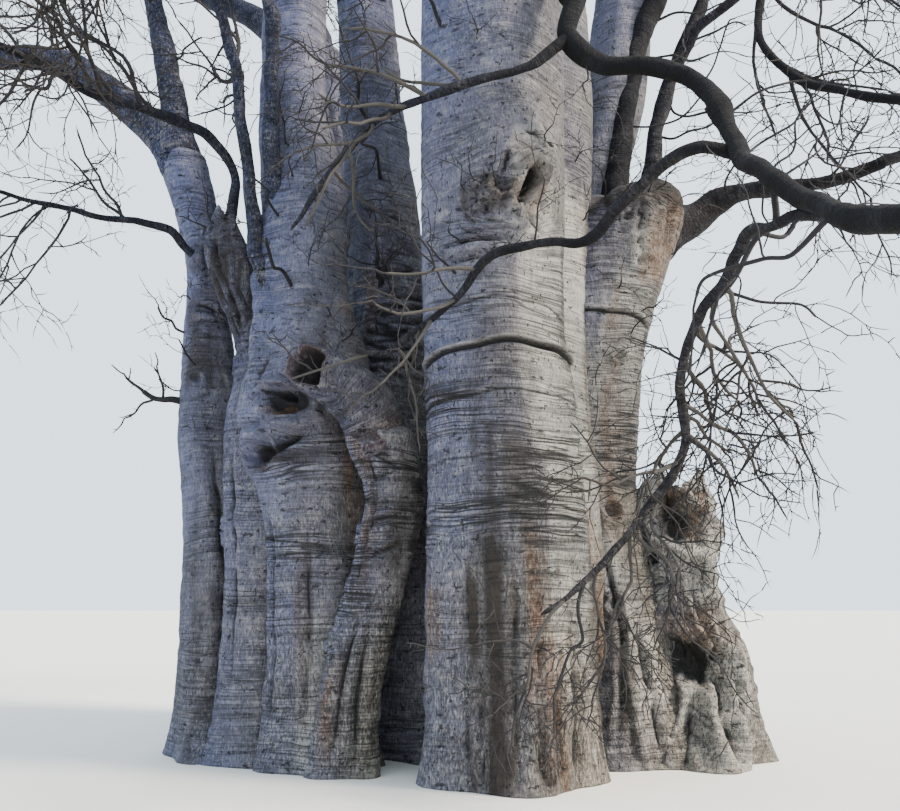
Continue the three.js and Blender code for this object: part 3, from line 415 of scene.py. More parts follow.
barkLooks = {
    "stem_front": {
        "rings": [(0.3, 2.3, 0.5), (2.3, 4.2, 1.0), (4.2, 5.6, 0.7), (5.6, 11, 0.35)],
        "rough": [(0, 1.2, 1.0), (1.2, 2.6, 0.7), (2.6, 4.4, 0.45), (4.4, 11, 0.15)],
        "belts": [
            (4.47, 290, 1.35, 0.16, 0.06, 0.06), (4.95, 280, 0.9, 0.1, 0.01, 0.012),
            (3.95, 284, 1.3, 0.1, 0.008, 0.012), (2.78, 272, 1.3, 0.06, 0.012, 0.012),
            (2.68, 276, 1.2, 0.04, 0.008, 0.01), (3.3, 280, 1.2, 0.08, 0.008, 0.01),
        ],
        "knots": [
            (6.24, 298, 0.25, 0.2, -0.15, 0.02, 0.07, 0.1), (6.22, 296, 0.23, 0.075, 0.36, 0.07, 0, 0.35),
            (6.02, 266, 0.1, 0.09, -0.09, 0.02, 0.05, 0), (6.14, 254, 0.08, 0.07, -0.08, 0.02, 0.04, 0.3),
            (5.9, 274, 0.08, 0.09, -0.07, 0.02, 0.04, 0), (5.46, 250, 0.05, 0.22, -0.04, 0.02, 0.06, 0.1),
            (7.85, 255, 0.07, 0.05, 0.03, 0.02, 0.012, 0),
        ],
        "folds": [
            (6.6, 284, 5.75, 262, 0.05, 0.07), (6.68, 279, 5.95, 254, 0.04, 0.05),
            (6.8, 290, 6.62, 316, 0.05, 0.06), (5.86, 278, 5.7, 314, 0.05, 0.05),
            (6.9, 284, 6.3, 262, 0.04, 0.04), (5.56, 228, 5.53, 276, 0.035, 0.08),
            (5.36, 230, 5.38, 272, 0.035, 0.07), (5.66, 240, 5.66, 286, 0.03, 0.06),
            (5.76, 246, 5.72, 282, 0.03, 0.05), (7.6, 236, 7.55, 246, 0.03, 0.05),
            (7.25, 240, 7.3, 250, 0.03, 0.05), (7.9, 270, 7.84, 280, 0.03, 0.05),
            (0.0, 284, 1.5, 286, 0.05, 0.06), (0.0, 300, 1.0, 297, 0.06, 0.06),
            (0.1, 238, 2.2, 237, 0.04, 0.05), (0.0, 270, 2.2, 271, 0.06, 0.04),
            (0.0, 318, 1.4, 312, 0.08, 0.06), (0.9, 247, 0.0, 250, 0.04, 0.04),
            (0.7, 292, 0.0, 291, 0.04, -0.05), (5.95, 225, 6.25, 240, 0.02, 0.03),
            (6.3, 224, 5.95, 232, 0.02, 0.025), (6.12, 212, 6.08, 236, 0.02, 0.025),
        ],
        "wrinkles": [
            (5.85, 250, 4, 0.09, 26, 0.03, -0.25), (2.35, 262, 4, 0.08, 40, 0.025, 0.1),
            (7.1, 262, 3, 0.1, 20, 0.02, -0.2),
        ],
        "patches": {
            # the dark patch at 6.04 m, 262 degrees is painted shade beside the knot's mound; the others are
            # stains
            "stainAndShade": [
                (1.35, 255, 1.35, 0.27, 1.0), (2.9, 261, 0.7, 0.33, 0.75), (3.9, 266, 0.7, 0.36, 0.4),
                (0.4, 300, 0.5, 0.3, 0.4), (6.04, 262, 0.22, 0.26, 0.8), (1.3, 346, 1.1, 0.12, 1.0),
            ],
            "rust": [
                (1.6, 283, 1.0, 0.13, 0.9), (0.85, 290, 0.6, 0.07, 1.0), (0.6, 303, 0.6, 0.06, 0.9),
                (1.6, 208, 0.35, 0.12, 0.9), (6.22, 296, 0.36, 0.2, 0.6),
            ],
            "paleAndHighlight": [(3.6, 318, 2.4, 0.38, 1.0), (6.25, 300, 0.5, 0.28, 0.7)],
        },
        "swell": 0.025, "rows": 0.018, "sides": 188, "seedKnots": 6,
    },
    "stem_right": {
        "rings": [(0, 3, 0.4), (3, 4.3, 1.0), (4.3, 7, 0.6)],
        "rough": [(0, 2.0, 0.8), (2.0, 7, 0.3)],
        "belts": [(5.33, 261, 0.8, 0.1, 0.045, 0.045)],
        "knots": [
            (2.85, 275, 0.1, 0.09, 0.07, 0.05, 0.03, 0), (1.75, 262, 0.08, 0.07, 0.06, 0.05, 0.02, 0.4),
            (5.95, 300, 0.06, 0.09, 0.05, 0.03, 0.015, 0), (4.75, 292, 0.05, 0.06, 0.03, 0.03, 0.012, 0),
            (6.78, 268, 0.1, 0.12, -0.07, 0.03, 0.03, 0), (6.66, 292, 0.09, 0.1, -0.06, 0.03, 0.03, 0),
            (6.82, 314, 0.12, 0.14, -0.08, 0.03, 0.03, 0), (6.5, 276, 0.06, 0.06, 0.05, 0.03, 0.02, 0),
        ],
        "folds": [
            (1.7, 268, 0.2, 250, 0.05, 0.07), (1.5, 285, 0.1, 292, 0.06, 0.08),
            (2.4, 255, 1.2, 262, 0.05, 0.06), (0.0, 273, 1.0, 270, 0.06, -0.06),
            (3.2, 258, 2.5, 262, 0.05, -0.035), (6.7, 285, 5.9, 300, 0.05, 0.04),
            (6.8, 262, 6.2, 258, 0.05, 0.05), (6.75, 310, 6.1, 322, 0.06, 0.06),
        ],
        "wrinkles": [(3.55, 270, 6, 0.08, 56, 0.03, 0.1), (6.35, 285, 5, 0.1, 60, 0.035, 0.25)],
        "patches": {
            "rust": [(4.2, 284, 1.0, 0.14, 0.6), (2.9, 279, 0.5, 0.14, 0.8), (6.3, 322, 0.5, 0.3, 0.9)],
            "stainAndShade": [(1.0, 262, 0.8, 0.1, 0.7), (6.95, 285, 0.3, 0.8, 1.0)],
            "paleAndHighlight": [(3.6, 262, 1.6, 0.25, 0.7), (1.2, 284, 1.0, 0.2, 0.6), (5.2, 300, 1.2, 0.25, 0.7)],
            # painted shade over the top of the stem
            "paintedShade": [(7.1, 285, 0.25, 0.9, 0.7)],
        },
        "rows": 0.024, "sides": 136, "raggedTop": 0.3,
    },
    "stem_left_inner": {
        "rings": [(0, 2.2, 0.5), (2.2, 3.7, 0.9), (3.7, 11, 0.35)],
        "knots": [
            (4.06, 254, 0.15, 0.27, 0.34, 0.07, 0.05, 0.12), (3.47, 222, 0.14, 0.18, 0.32, 0.06, 0.03, 0.5),
            (4.45, 264, 0.05, 0.07, 0.02, 0.04, 0.03, 0), (5.42, 329, 0.09, 0.09, -0.06, 0.03, 0.01, 0),
            (6.3, 262, 0.05, 0.04, 0.03, 0.02, 0.01, 0), (7.4, 280, 0.06, 0.05, 0.03, 0.02, 0.01, 0),
        ],
        "folds": [
            (2.9, 214, 0.4, 219, 0.07, 0.11), (2.5, 266, 0.5, 264, 0.05, 0.06),
            (3.62, 212, 3.84, 288, 0.08, -0.13), (3.36, 228, 3.7, 286, 0.07, 0.22),
            (3.3, 232, 3.1, 224, 0.05, 0.08), (4.7, 236, 4.2, 222, 0.08, 0.05),
            (4.21, 234, 4.17, 274, 0.05, 0.19), (4.31, 234, 4.28, 274, 0.05, -0.07),
            (3.9, 240, 3.93, 270, 0.04, -0.04), (3.83, 240, 3.86, 272, 0.03, 0.05),
            (6.1, 206, 4.5, 226, 0.14, -0.12),
        ],
        "wrinkles": [
            (3.15, 258, 6, 0.1, 60, 0.03, 0.12), (5.2, 262, 5, 0.1, 46, 0.035, -0.15),
            (6.2, 262, 4, 0.1, 44, 0.025, 0.1), (2.3, 285, 5, 0.1, 44, 0.025, 0.2),
            (4.6, 280, 4, 0.09, 40, 0.03, -0.2),
        ],
        "patches": {
            "rust": [
                (3.98, 253, 0.07, 0.22, 1.0), (1.8, 256, 0.9, 0.1, 0.3), (5.42, 329, 0.12, 0.12, 0.5),
                (3.3, 312, 0.6, 0.09, 0.8), (2.6, 325, 0.5, 0.1, 0.6),
            ],
            "paleAndHighlight": [(0.8, 272, 0.7, 0.2, 0.4)],
            "stainAndShade": [
                (1.6, 262, 1.0, 0.08, 0.6), (3.42, 222, 0.14, 0.24, 0.9), (3.75, 296, 0.2, 0.12, 0.9),
                (5.0, 285, 0.6, 0.16, 0.6),
            ],
        },
        "swell": 0.05, "rows": 0.024, "sides": 140,
    },
    "stem_stub": {
        "rings": [(0, 1.6, 0.5), (1.6, 4, 1.0)],
        "rough": [(0, 2.0, 0.9), (2.0, 4, 0.5)],
        "folds": [
            (1.6, 255, 0.1, 250, 0.06, 0.07), (1.5, 285, 0.0, 292, 0.06, 0.07),
            (3.5, 236, 1.9, 228, 0.05, 0.06),
        ],
        "wrinkles": [(2.75, 262, 11, 0.09, 80, 0.04, 0.15), (3.5, 262, 4, 0.1, 70, 0.05, -0.15)],
        "patches": {
            "rust": [(0.67, 239, 0.5, 0.12, 0.7), (3.2, 222, 0.8, 0.08, 0.7), (2.4, 240, 0.6, 0.06, 0.5)],
            "stainAndShade": [(2.6, 270, 0.9, 0.3, 0.7)],
        },
        "swell": 0.045, "rows": 0.02, "sides": 110, "seedKnots": 6,
    },
    "stem_front_right": {
        "patches": {
            "paleAndHighlight": [(4.6, 300, 2.6, 0.35, 1.0), (0.7, 290, 0.9, 0.3, 0.7)],
            "rust": [(1.2, 316, 1.3, 0.16, 1.0)],
            "stainAndShade": [(1.0, 306, 1.1, 0.1, 0.9)],
        },
        "folds": [(2.2, 314, 0.1, 318, 0.08, 0.1)],
        "rows": 0.032, "sides": 110,
    },
    "stem_left_outer": {
        "knots": [
            (6.28, 262, 0.16, 0.1, -0.08, 0.02, 0.02, 0.3), (4.6, 262, 0.05, 0.05, 0.04, 0.03, 0.015, 0),
        ],
        "folds": [(5.69, 250, 5.6, 300, 0.06, 0.09), (3.9, 280, 0.3, 286, 0.08, 0.09)],
        "wrinkles": [
            (5.4, 272, 5, 0.11, 56, 0.035, -0.1), (4.3, 262, 5, 0.11, 56, 0.03, 0.15),
            (7.6, 270, 5, 0.1, 80, 0.03, 0.1),
        ],
        "patches": {
            "stainAndShade": [(5.2, 276, 0.7, 0.25, 0.7), (1.6, 262, 1.2, 0.2, 0.4), (6.26, 258, 0.16, 0.12, 0.8)],
            # painted shade on the front, from the foot up
            "paintedShade": [(2.5, 262, 2.6, 0.6, 0.35)],
        },
        "swell": 0.045, "rows": 0.028, "sides": 104,
    },
    "buttress_right": {
        "rings": [(0, 4, 0.25)],
        "rough": [(0, 4, 1.0)],
        "knots": [
            (2.78, 262, 0.3, 0.24, 0.32, 0.09, 0.01, -0.35), (1.12, 256, 0.22, 0.32, 0.38, 0.08, 0.02, -0.5),
            (2.3, 222, 0.07, 0.09, 0.14, 0.05, 0.02, 0), (2.28, 200, 0.06, 0.05, 0.12, 0.04, 0.02, 0),
            (2.1, 300, 0.12, 0.1, -0.06, 0.04, 0.02, 0),
        ],
        "folds": [
            (2.4, 297, 0.3, 312, 0.1, -0.1), (1.6, 236, 0.0, 232, 0.08, 0.1),
            (0.9, 262, 0.0, 290, 0.09, -0.1), (0.7, 300, 0.0, 322, 0.08, 0.08),
            (0.6, 250, 0.0, 256, 0.08, 0.09), (3.1, 296, 2.5, 286, 0.07, -0.07),
            (1.9, 272, 0.9, 292, 0.05, 0.09), (1.0, 276, 0.0, 300, 0.06, 0.11),
            (1.1, 286, 0.0, 314, 0.05, -0.09), (1.0, 246, 0.0, 240, 0.05, -0.08),
            (3.2, 250, 2.6, 236, 0.05, 0.08), (3.2, 282, 2.7, 300, 0.05, 0.08),
        ],
        "wrinkles": [(2.0, 272, 4, 0.11, 46, 0.03, 0.3), (0.5, 270, 3, 0.12, 50, 0.03, -0.2)],
        "patches": {
            "rust": [(2.82, 264, 0.34, 0.27, 1.0), (1.5, 262, 0.22, 0.42, 0.8)],
            "paleAndHighlight": [
                (2.2, 268, 0.5, 0.4, 1.0), (3.1, 292, 0.6, 0.2, 1.0), (2.5, 300, 1.2, 0.3, 0.8),
                (0.6, 285, 0.7, 0.5, 0.7), (3.1, 235, 0.5, 0.3, 0.9),
            ],
        },
        "swell": 0.09, "rows": 0.022, "sides": 140, "hollowTop": 0.34, "raggedTop": 0.26,
    },
    "stem_left_pollard": {
        "folds": [
            (3.8, 232, 0.6, 240, 0.06, 0.08), (6.5, 240, 5.1, 252, 0.05, 0.08),
            (6.4, 280, 5.5, 268, 0.04, -0.07), (6.1, 222, 5.0, 232, 0.05, 0.07),
        ],
        "rough": [(0, 5, 0.4), (5, 8, 0.8)],
        "wrinkles": [(6.4, 262, 7, 0.1, 90, 0.04, 0.1), (5.3, 262, 4, 0.11, 70, 0.03, 0.2)],
        "patches": {
            "stainAndShade": [(6.0, 255, 0.7, 0.3, 0.9)],
            # painted shade
            "paintedShade": [(5.6, 262, 1.2, 0.4, 0.45)],
        },
        "swell": 0.05, "rows": 0.028, "sides": 90, "seedKnots": 16, "hollowTop": 0.16, "raggedTop": 0.3,
    },
    "stem_middle": {
        "rings": [(0, 12, 0.5)],
        "rough": [(0, 4, 0.4), (4, 6.6, 0.8), (6.6, 12, 0.2)],
        "wrinkles": [
            (5.5, 290, 12, 0.13, 76, 0.09, 0.1), (7.4, 270, 5, 0.14, 54, 0.04, -0.2),
            (5.2, 262, 6, 0.17, 50, 0.07, -0.15),
        ],
        "patches": {
            "stainAndShade": [(7.6, 265, 2.2, 0.3, 0.5), (5.4, 262, 0.4, 0.2, 0.5)],
            "rust": [(5.6, 250, 0.5, 0.12, 0.8)],
        },
        "swell": 0.055, "rows": 0.03, "sides": 112,
    },
}
# The relief that all stems share. Sizes, depths and gaps are in metres, across, across and up.
barkForm = {
    "lumps": (  # size, share of the stem's own swell, seed
        ((0.8, 0.8, 1.0), 1, 0), ((0.3, 0.3, 0.42), 0.4, 1), ((0.2, 0.2, 0.11), 0.15, 18),
    ),
    "drift": ((0.9, 0.06, 3), (0.22, 0.012, 4)),  # size, how far the level lines stray, seed
    "parting": (2.4, 0.8),  # how wide the level lines part round a knot, and how much
    "ringGap": 0.065,  # between the grooves that ring a stem
    "ringReach": 1.3,  # how far each of them runs on
    "ringStand": 0.006,
    "ringDepth": 0.012,
    "ringWidth": 0.3,
    "cracks": ((0.12, 0.12, 0.4), 0.14, 0.014),  # size, width, depth
    "flakes": ((0.13, 0.13, 0.2), 0.018),  # size, how far they stand out
    "grit": ((0.06, 0.06, 0.09), 0.010),
    "foldSway": 0.035,  # how far a fold strays from its straight way
    "creaseGap": 0.06,  # between the creases round a knot
    "creaseReach": 0.17,
    "rim": (1.5, 0.55),  # of a knot: where it stands and its width, in mouths
}
seededForm = {  # ranges of the folds and knots that are strewn over every side
    "foldsFrom": 0.6, "foldCount": (2, 6), "gap": (0.08, 0.14), "across": (25, 70),
    "depth": (0.012, 0.03), "tilt": (-0.25, 0.25),
    "knotsFrom": 1, "knotTurn": (-10, 200), "tall": (0.04, 0.07), "wide": (0.04, 0.08), "hole": (0.01, 0.03),
}
hollowForm = {  # a rim that turns over and goes down inside
    "rows": 16,
    "inwards": ((0, 0.2, 0.45, 0.8, 1), (1, 0.86, 0.7, 0.45, 0.03)),  # part of the way, how far drawn in
    "lifts": (0, 0.12, 0.2, 0.7, 1),  # part of the way at the foot, the top and inside
}
markKinds = {  # the attributes of a bark mesh, and what each one's red, green and blue hold
    # the first holds rust, stains and the painted shade in hollows; the second pale bark with painted highlights,
    # the tint painted for sky light, and patches of painted shade
    "weatherAndHollowShade": ("rust", "stainAndShade", "hollow"),
    "paleAndPaintedLight": ("paleAndHighlight", "paintedSkyLight", "paintedShade"),
    "grain": ("rings", "rough", "field"),
}


def bump(value):
    return np.exp(-(value**2))


def knotShape(look, turn, height, radius, ragged):
    level, degrees, tall, wide, hole, collar, wrinkles, slant = look
    aside = aroundFrom(turn, degrees) * radius - slant * (height - level)
    reach = np.hypot(aside / wide, (height - level) / tall) * (1 + ragged)
    mouth = np.exp(-(reach**4))
    rimAt, rimWidth = barkForm["rim"]
    rim = bump((reach - rimAt) / rimWidth) + 0.45 * bump(reach / 3.2)
    away = (reach - 1) * math.sqrt(tall * wide)
    creases = bump(np.sin(math.pi * away / barkForm["creaseGap"]) / 0.55) * smoothStep(0, 0.03, away)
    creases = creases * bump(away / barkForm["creaseReach"])
    # painted shade in the knot's hole and in the creases round it
    paintedShade = smoothStep(1.05, 0.55, reach) * max(hole, 0) / 0.2 + 0.7 * creases**2 * min(wrinkles / 0.03, 1)
    return collar * rim - wrinkles * creases - hole * mouth, paintedShade


def foldShape(look, turn, height, radius, sway):
    level, degrees, farLevel, farDegrees, wide, depth = look
    span = np.array([math.radians(farDegrees - degrees) * radius.mean(), farLevel - level])
    aside, rise = aroundFrom(turn, degrees) * radius, height - level
    part = np.clip((aside * span[0] + rise * span[1]) / (span @ span), 0, 1)
    away = np.hypot(aside - part * span[0] + sway, rise - part * span[1] + sway)
    ends = smoothStep(0, 0.2, part) * smoothStep(1, 0.8, part)
    cleft = np.exp(-1.6 * away / wide) if depth > 0 else bump(away / wide)
    shoulders = bump((away - 1.5 * wide) / wide) * 0.45
    # painted shade down the fold's cleft
    paintedShade = bump(away / (wide * min(0.3 + 2 * max(depth - 0.05, 0), 0.5))) * ends * np.clip(depth / 0.06, 0, 1)
    return -depth * (cleft - shoulders) * (0.2 + 0.8 * ends), paintedShade


def beltShape(look, turn, height, radius):
    level, degrees, half, sag, lip, groove = look
    aside = aroundFrom(turn, degrees) * radius
    rise = height - level + sag * (aside / half) ** 2 + 0.012 * np.sin(aside * 9)
    ends = smoothStep(half * 1.15, half * 0.85, np.abs(aside))
    cleft = bump((rise + 0.03) / (0.009 + 0.2 * groove)) * ends
    stand = bump((rise - 0.008) / 0.024) * ends
    return lip * stand - groove * cleft, 1.3 * cleft * min(groove / 0.02, 1), stand * min(lip / 0.04, 1)


def wrinkleFolds(level, degrees, count, gap, across, depth, tilt, rng):
    # folds that lie over each other, each longer or shorter than the last
    folds = []
    for i in range(count):
        half = 0.5 * across * rng.uniform(0.6, 1.1)
        middle = degrees + rng.uniform(-0.15, 0.15) * across
        height = level + (i - count / 2) * gap + rng.uniform(-0.2, 0.2) * gap
        deep = depth * rng.uniform(0.6, 1.2)
        folds.append((height - tilt / 2, middle - half, height + tilt / 2, middle + half, 0.5 * gap, deep))
    return folds


def seededMarks(look, seed, top):  # the placed folds and knots, and others on every side
    rng, form = np.random.default_rng(seed), seededForm
    folds, knots, groups = list(look["folds"]), list(look["knots"]), list(look["wrinkles"])
    for _ in range(look["seedWrinkles"]):
        groups.append((
            rng.uniform(form["foldsFrom"], top), rng.uniform(0, 360), int(rng.integers(*form["foldCount"])),
            *[rng.uniform(*form[key]) for key in ("gap", "across", "depth", "tilt")],
        ))
    for group in groups:
        folds += wrinkleFolds(*group, rng)
    for _ in range(look["seedKnots"]):
        tall, wide = rng.uniform(*form["tall"]), rng.uniform(*form["wide"])
        place = rng.uniform(form["knotsFrom"], top), rng.uniform(*form["knotTurn"])
        knots.append((*place, tall, wide, rng.uniform(*form["hole"]), 0.03, 0.02, 0))
    return folds, knots


def strengthAt(height, ranges):
    strength = np.zeros(len(height))
    for low, high, share in ranges:
        inside = smoothStep(low - 0.2, low + 0.2, height) * smoothStep(high + 0.2, high - 0.2, height)
        strength = np.maximum(strength, share * inside)
    return strength


def barkRelief(look, seed, points, turn, height, radius):
    # metres outwards, with how ringed, rough, rusty, stained and pale each point is, the painted shade in its
    # hollows and dark patches, and the painted highlight on belt lips
    form = barkForm
    out = np.zeros(len(points))
    for size, share, step in form["lumps"]:
        out += share * look["swell"] * softNoise(points, size, seed + step)
    marks = {kind: np.zeros(len(points)) for kind in ("rust", "stainAndShade", "paleAndHighlight", "paintedShade")}
    folds, knots = seededMarks(look, seed, height.max())
    drift = height
    for size, stray, step in form["drift"]:
        drift = drift + stray * softNoise(points, size, seed + step)
    apart, parted = form["parting"]
    for level, degrees, tall, wide, *_ in knots:
        near = bump(aroundFrom(turn, degrees) * radius / (apart * wide)) * bump((height - level) / (apart * tall))
        drift = level + (drift - level) * (1 - parted * near)
    reach = form["ringReach"]
    belts = np.stack([points[:, 0] / reach, points[:, 1] / reach, drift / form["ringGap"]], axis=1)
    rings = strengthAt(height, look["rings"])
    rings = rings * (0.15 + 0.85 * smoothStep(-0.5, 0.35, softNoise(points, (0.6, 0.6, 0.3), seed + 5)))
    field = softNoise(belts, 1, seed + 6)
    grooves = bump(field / form["ringWidth"]) * rings
    out += form["ringStand"] * rings * field - form["ringDepth"] * grooves
    rough = strengthAt(height, look["rough"])
    size, width, depth = form["cracks"]
    cracks = np.exp(-np.abs(softNoise(points, size, seed + 10)) / width) * rough
    size, stand = form["flakes"]
    out += stand * rough * softNoise(points, size, seed + 2) - depth * cracks
    size, stand = form["grit"]
    out += stand * rough * softNoise(points, size, seed + 15)
    # painted shade: the ring grooves and cracks are darkened, and folds, belt grooves and knot holes add theirs
    # below
    hollow = 0.12 * grooves + 0.22 * cracks
    sway = form["foldSway"] * softNoise(points, 0.25, seed + 8)
    ragged = 0.35 * softNoise(points, 0.13, seed + 12) + 0.15 * softNoise(points, 0.06, seed + 13)
    for fold in folds:
        shape, cleft = foldShape(fold, turn, height, radius, sway)
        out, hollow = out + shape, hollow + cleft
    for belt in look["belts"]:
        shape, cleft, stand = beltShape(belt, turn, height, radius)
        out, hollow = out + shape, hollow + cleft
        # painted highlight: the top of the belt's lip is painted pale
        marks["paleAndHighlight"] = np.maximum(marks["paleAndHighlight"], 0.7 * stand)
    for knot in knots:
        shape, cleft = knotShape(knot, turn, height, radius, ragged)
        out, hollow = out + shape, hollow + cleft
    frayed = 0.25 * softNoise(points, (0.2, 0.2, 0.9), seed + 9)
    frayed = frayed + 0.3 * softNoise(points, (0.06, 0.06, 0.5), seed + 14)
    streaks = 0.45 + 0.55 * smoothStep(-0.35, 0.25, softNoise(points, (0.08, 0.08, 0.8), seed + 19))
    for finish, patches in look["patches"].items():
        for level, degrees, tall, wide, share in patches:
            aside = aroundFrom(turn, degrees) * radius / wide
            reach = (np.abs(aside)**3 + np.abs((height - level) / tall)**3) ** (1 / 3) + frayed
            share = share * (1 if finish == "paleAndHighlight" else streaks)
            marks[finish] = np.maximum(marks[finish], share * smoothStep(1.25, 0.75, reach))
    # rust in a hollow takes the place of most of its painted shade
    hollow = hollow * (1 - 0.75 * marks["rust"])
    marks.update(hollow=hollow, rings=rings, rough=rough, field=0.5 + 0.5 * field, level=drift)
    return out, marks


def drumMesh(name, sides, rows):
    # a closed drum cut into rows, with each point's turn about it and its row
    drum = bmesh.new()
    bmesh.ops.create_cone(
        drum, cap_ends=True, cap_tris=False, segments=sides, radius1=1, radius2=1, depth=2
    )
    upright = [edge for edge in drum.edges if abs(edge.verts[0].co.z - edge.verts[1].co.z) > 1]
    bmesh.ops.subdivide_edges(drum, edges=upright, cuts=rows - 2, use_grid_fill=True)
    for face in drum.faces:
        face.smooth = len(face.verts) == 4
    mesh = bpy.data.meshes.new(name)
    drum.to_mesh(mesh)
    drum.free()
    places = np.empty(len(mesh.vertices) * 3)
    mesh.vertices.foreach_get("co", places)
    x, y, z = places.reshape(-1, 3).T
    return mesh, np.arctan2(y, x), np.rint((z + 1) / 2 * (rows - 1)).astype(int)


def paintMarks(mesh, marks):  # from 0 to 1 at each point, and the height by which its level lines run
    for name, kinds in markKinds.items():
        attribute = mesh.attributes.new(name, "FLOAT_COLOR", "POINT")
        colours = np.stack([*[marks[kind] for kind in kinds], np.ones_like(marks["hollow"])], axis=1)
        attribute.data.foreach_set("color", np.clip(colours, 0, 1).astype(np.float32).ravel())
    levels = mesh.attributes.new("level", "FLOAT", "POINT")
    levels.data.foreach_set("value", marks["level"].astype(np.float32))


def placePoints(mesh, points):
    mesh.vertices.foreach_set("co", points.astype(np.float32).ravel())
    mesh.update()


def addPiece(mesh, nodes, materials):
    piece = bpy.data.objects.new(mesh.name, mesh)
    bpy.context.scene.collection.objects.link(piece)
    for material in materials:
        mesh.materials.append(material)
    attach(piece, "root")
    if nodes:
        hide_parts(*nodes)
    return piece


# Painted light: how far the bark takes the violet tint that stands for sky light, instead of the warm buff of the
# key
paintedSkyLightForm = {"least": 0.2, "up": 0.055, "right": 0.08, "facing": 0.3, "blotch": 0.15, "blotchSize": 0.9}


def paintedSkyLightShare(points, facing, seed):  # bluer high up and to the left, warmer low down and to the right
    form = paintedSkyLightForm
    share = form["least"] + form["up"] * points[:, 2] - form["right"] * points[:, 0] - form["facing"] * facing
    return np.clip(share + form["blotch"] * softNoise(points, form["blotchSize"], seed), 0, 1)


def stemRows(look, stem):
    # the height of each row, how far it is drawn in, how far the top lifts it and how ragged it is
    top = stem["line"][-1][0]
    fineTop = min(top, look["fineTo"])
    fine = int(fineTop / look["rows"])
    coarse = int(max(top - look["fineTo"], 0) / (look["rows"] * look["coarser"]))
    heights = np.linspace(0, fineTop, fine, endpoint=coarse == 0)
    heights = np.concatenate([heights, np.linspace(fineTop, top, coarse)])
    rise = stem["line"][-1][3] * stem.get("cap", capHeight)
    if look["hollowTop"]:
        inwards, lifts, ragged = hollowRows(rise, look["hollowTop"])
    else:
        dome = np.radians(np.linspace(*look["dome"]))
        inwards, lifts, ragged = np.cos(dome), rise * np.sin(dome), np.cos(dome)
    below = smoothStep(top - 0.5, top, heights)
    return (
        np.concatenate([heights, np.full(len(inwards), top)]),
        np.concatenate([np.ones(fine + coarse), inwards]),
        np.concatenate([np.zeros(fine + coarse), lifts]),
        np.concatenate([below, ragged]) * look["raggedTop"],
    )


def hollowRows(rise, depth):
    # row by row over the rim and down: how far drawn in, how far lifted and how ragged
    part = np.linspace(0, 1, hollowForm["rows"])
    levels = (0.2 * rise, rise, 0.9 * rise, rise - 0.9 * depth, rise - depth)
    lifts = np.interp(part, hollowForm["lifts"], levels)
    return np.interp(part, *hollowForm["inwards"]), lifts, smoothStep(1, 0.4, part)


def rimPoints(turn):  # a ring on which noise closes on itself
    return np.stack([np.cos(turn), np.sin(turn), np.zeros(len(turn))], axis=1) * 0.5


def dressStem(name, seed, material):
    stem, look = stems[name], {**plainBark, **barkLooks.get(name, {})}
    heights, inwards, lifts, ragged = stemRows(look, stem)
    mesh, turn, row = drumMesh(f"{name}_bark", look["sides"], len(heights))
    x, y, radius = stemLine(stem, heights)[row].T
    height, inward = heights[row], inwards[row]
    out = barkRadius(stem, radius, height, turn)
    rim = rimPoints(turn)
    lift = lifts[row] + ragged[row] * (softNoise(rim, 0.3, seed + 16) + 0.2 * softNoise(rim, 0.11, seed + 17))

    def at(out):
        places = x + out * np.cos(turn) * inward, y + out * np.sin(turn) * inward, height + lift
        return np.stack(places, axis=1)

    relief, marks = barkRelief(look, seed, at(out), turn, height + lift, radius)
    if look["hollowTop"]:
        # painted shade deep inside the broken top; the rust inside is the wood's own colour
        marks["rust"] = np.maximum(marks["rust"], smoothStep(0.9, 0.75, inward))
        marks["hollow"] = marks["hollow"] + smoothStep(0.6, 0.3, inward)
    points = at(out + relief)
    placePoints(mesh, points)
    paintMarks(mesh, {**marks, "paintedSkyLight": paintedSkyLightShare(points, np.cos(turn), seed + 11)})
    return addPiece(mesh, [name], [material])


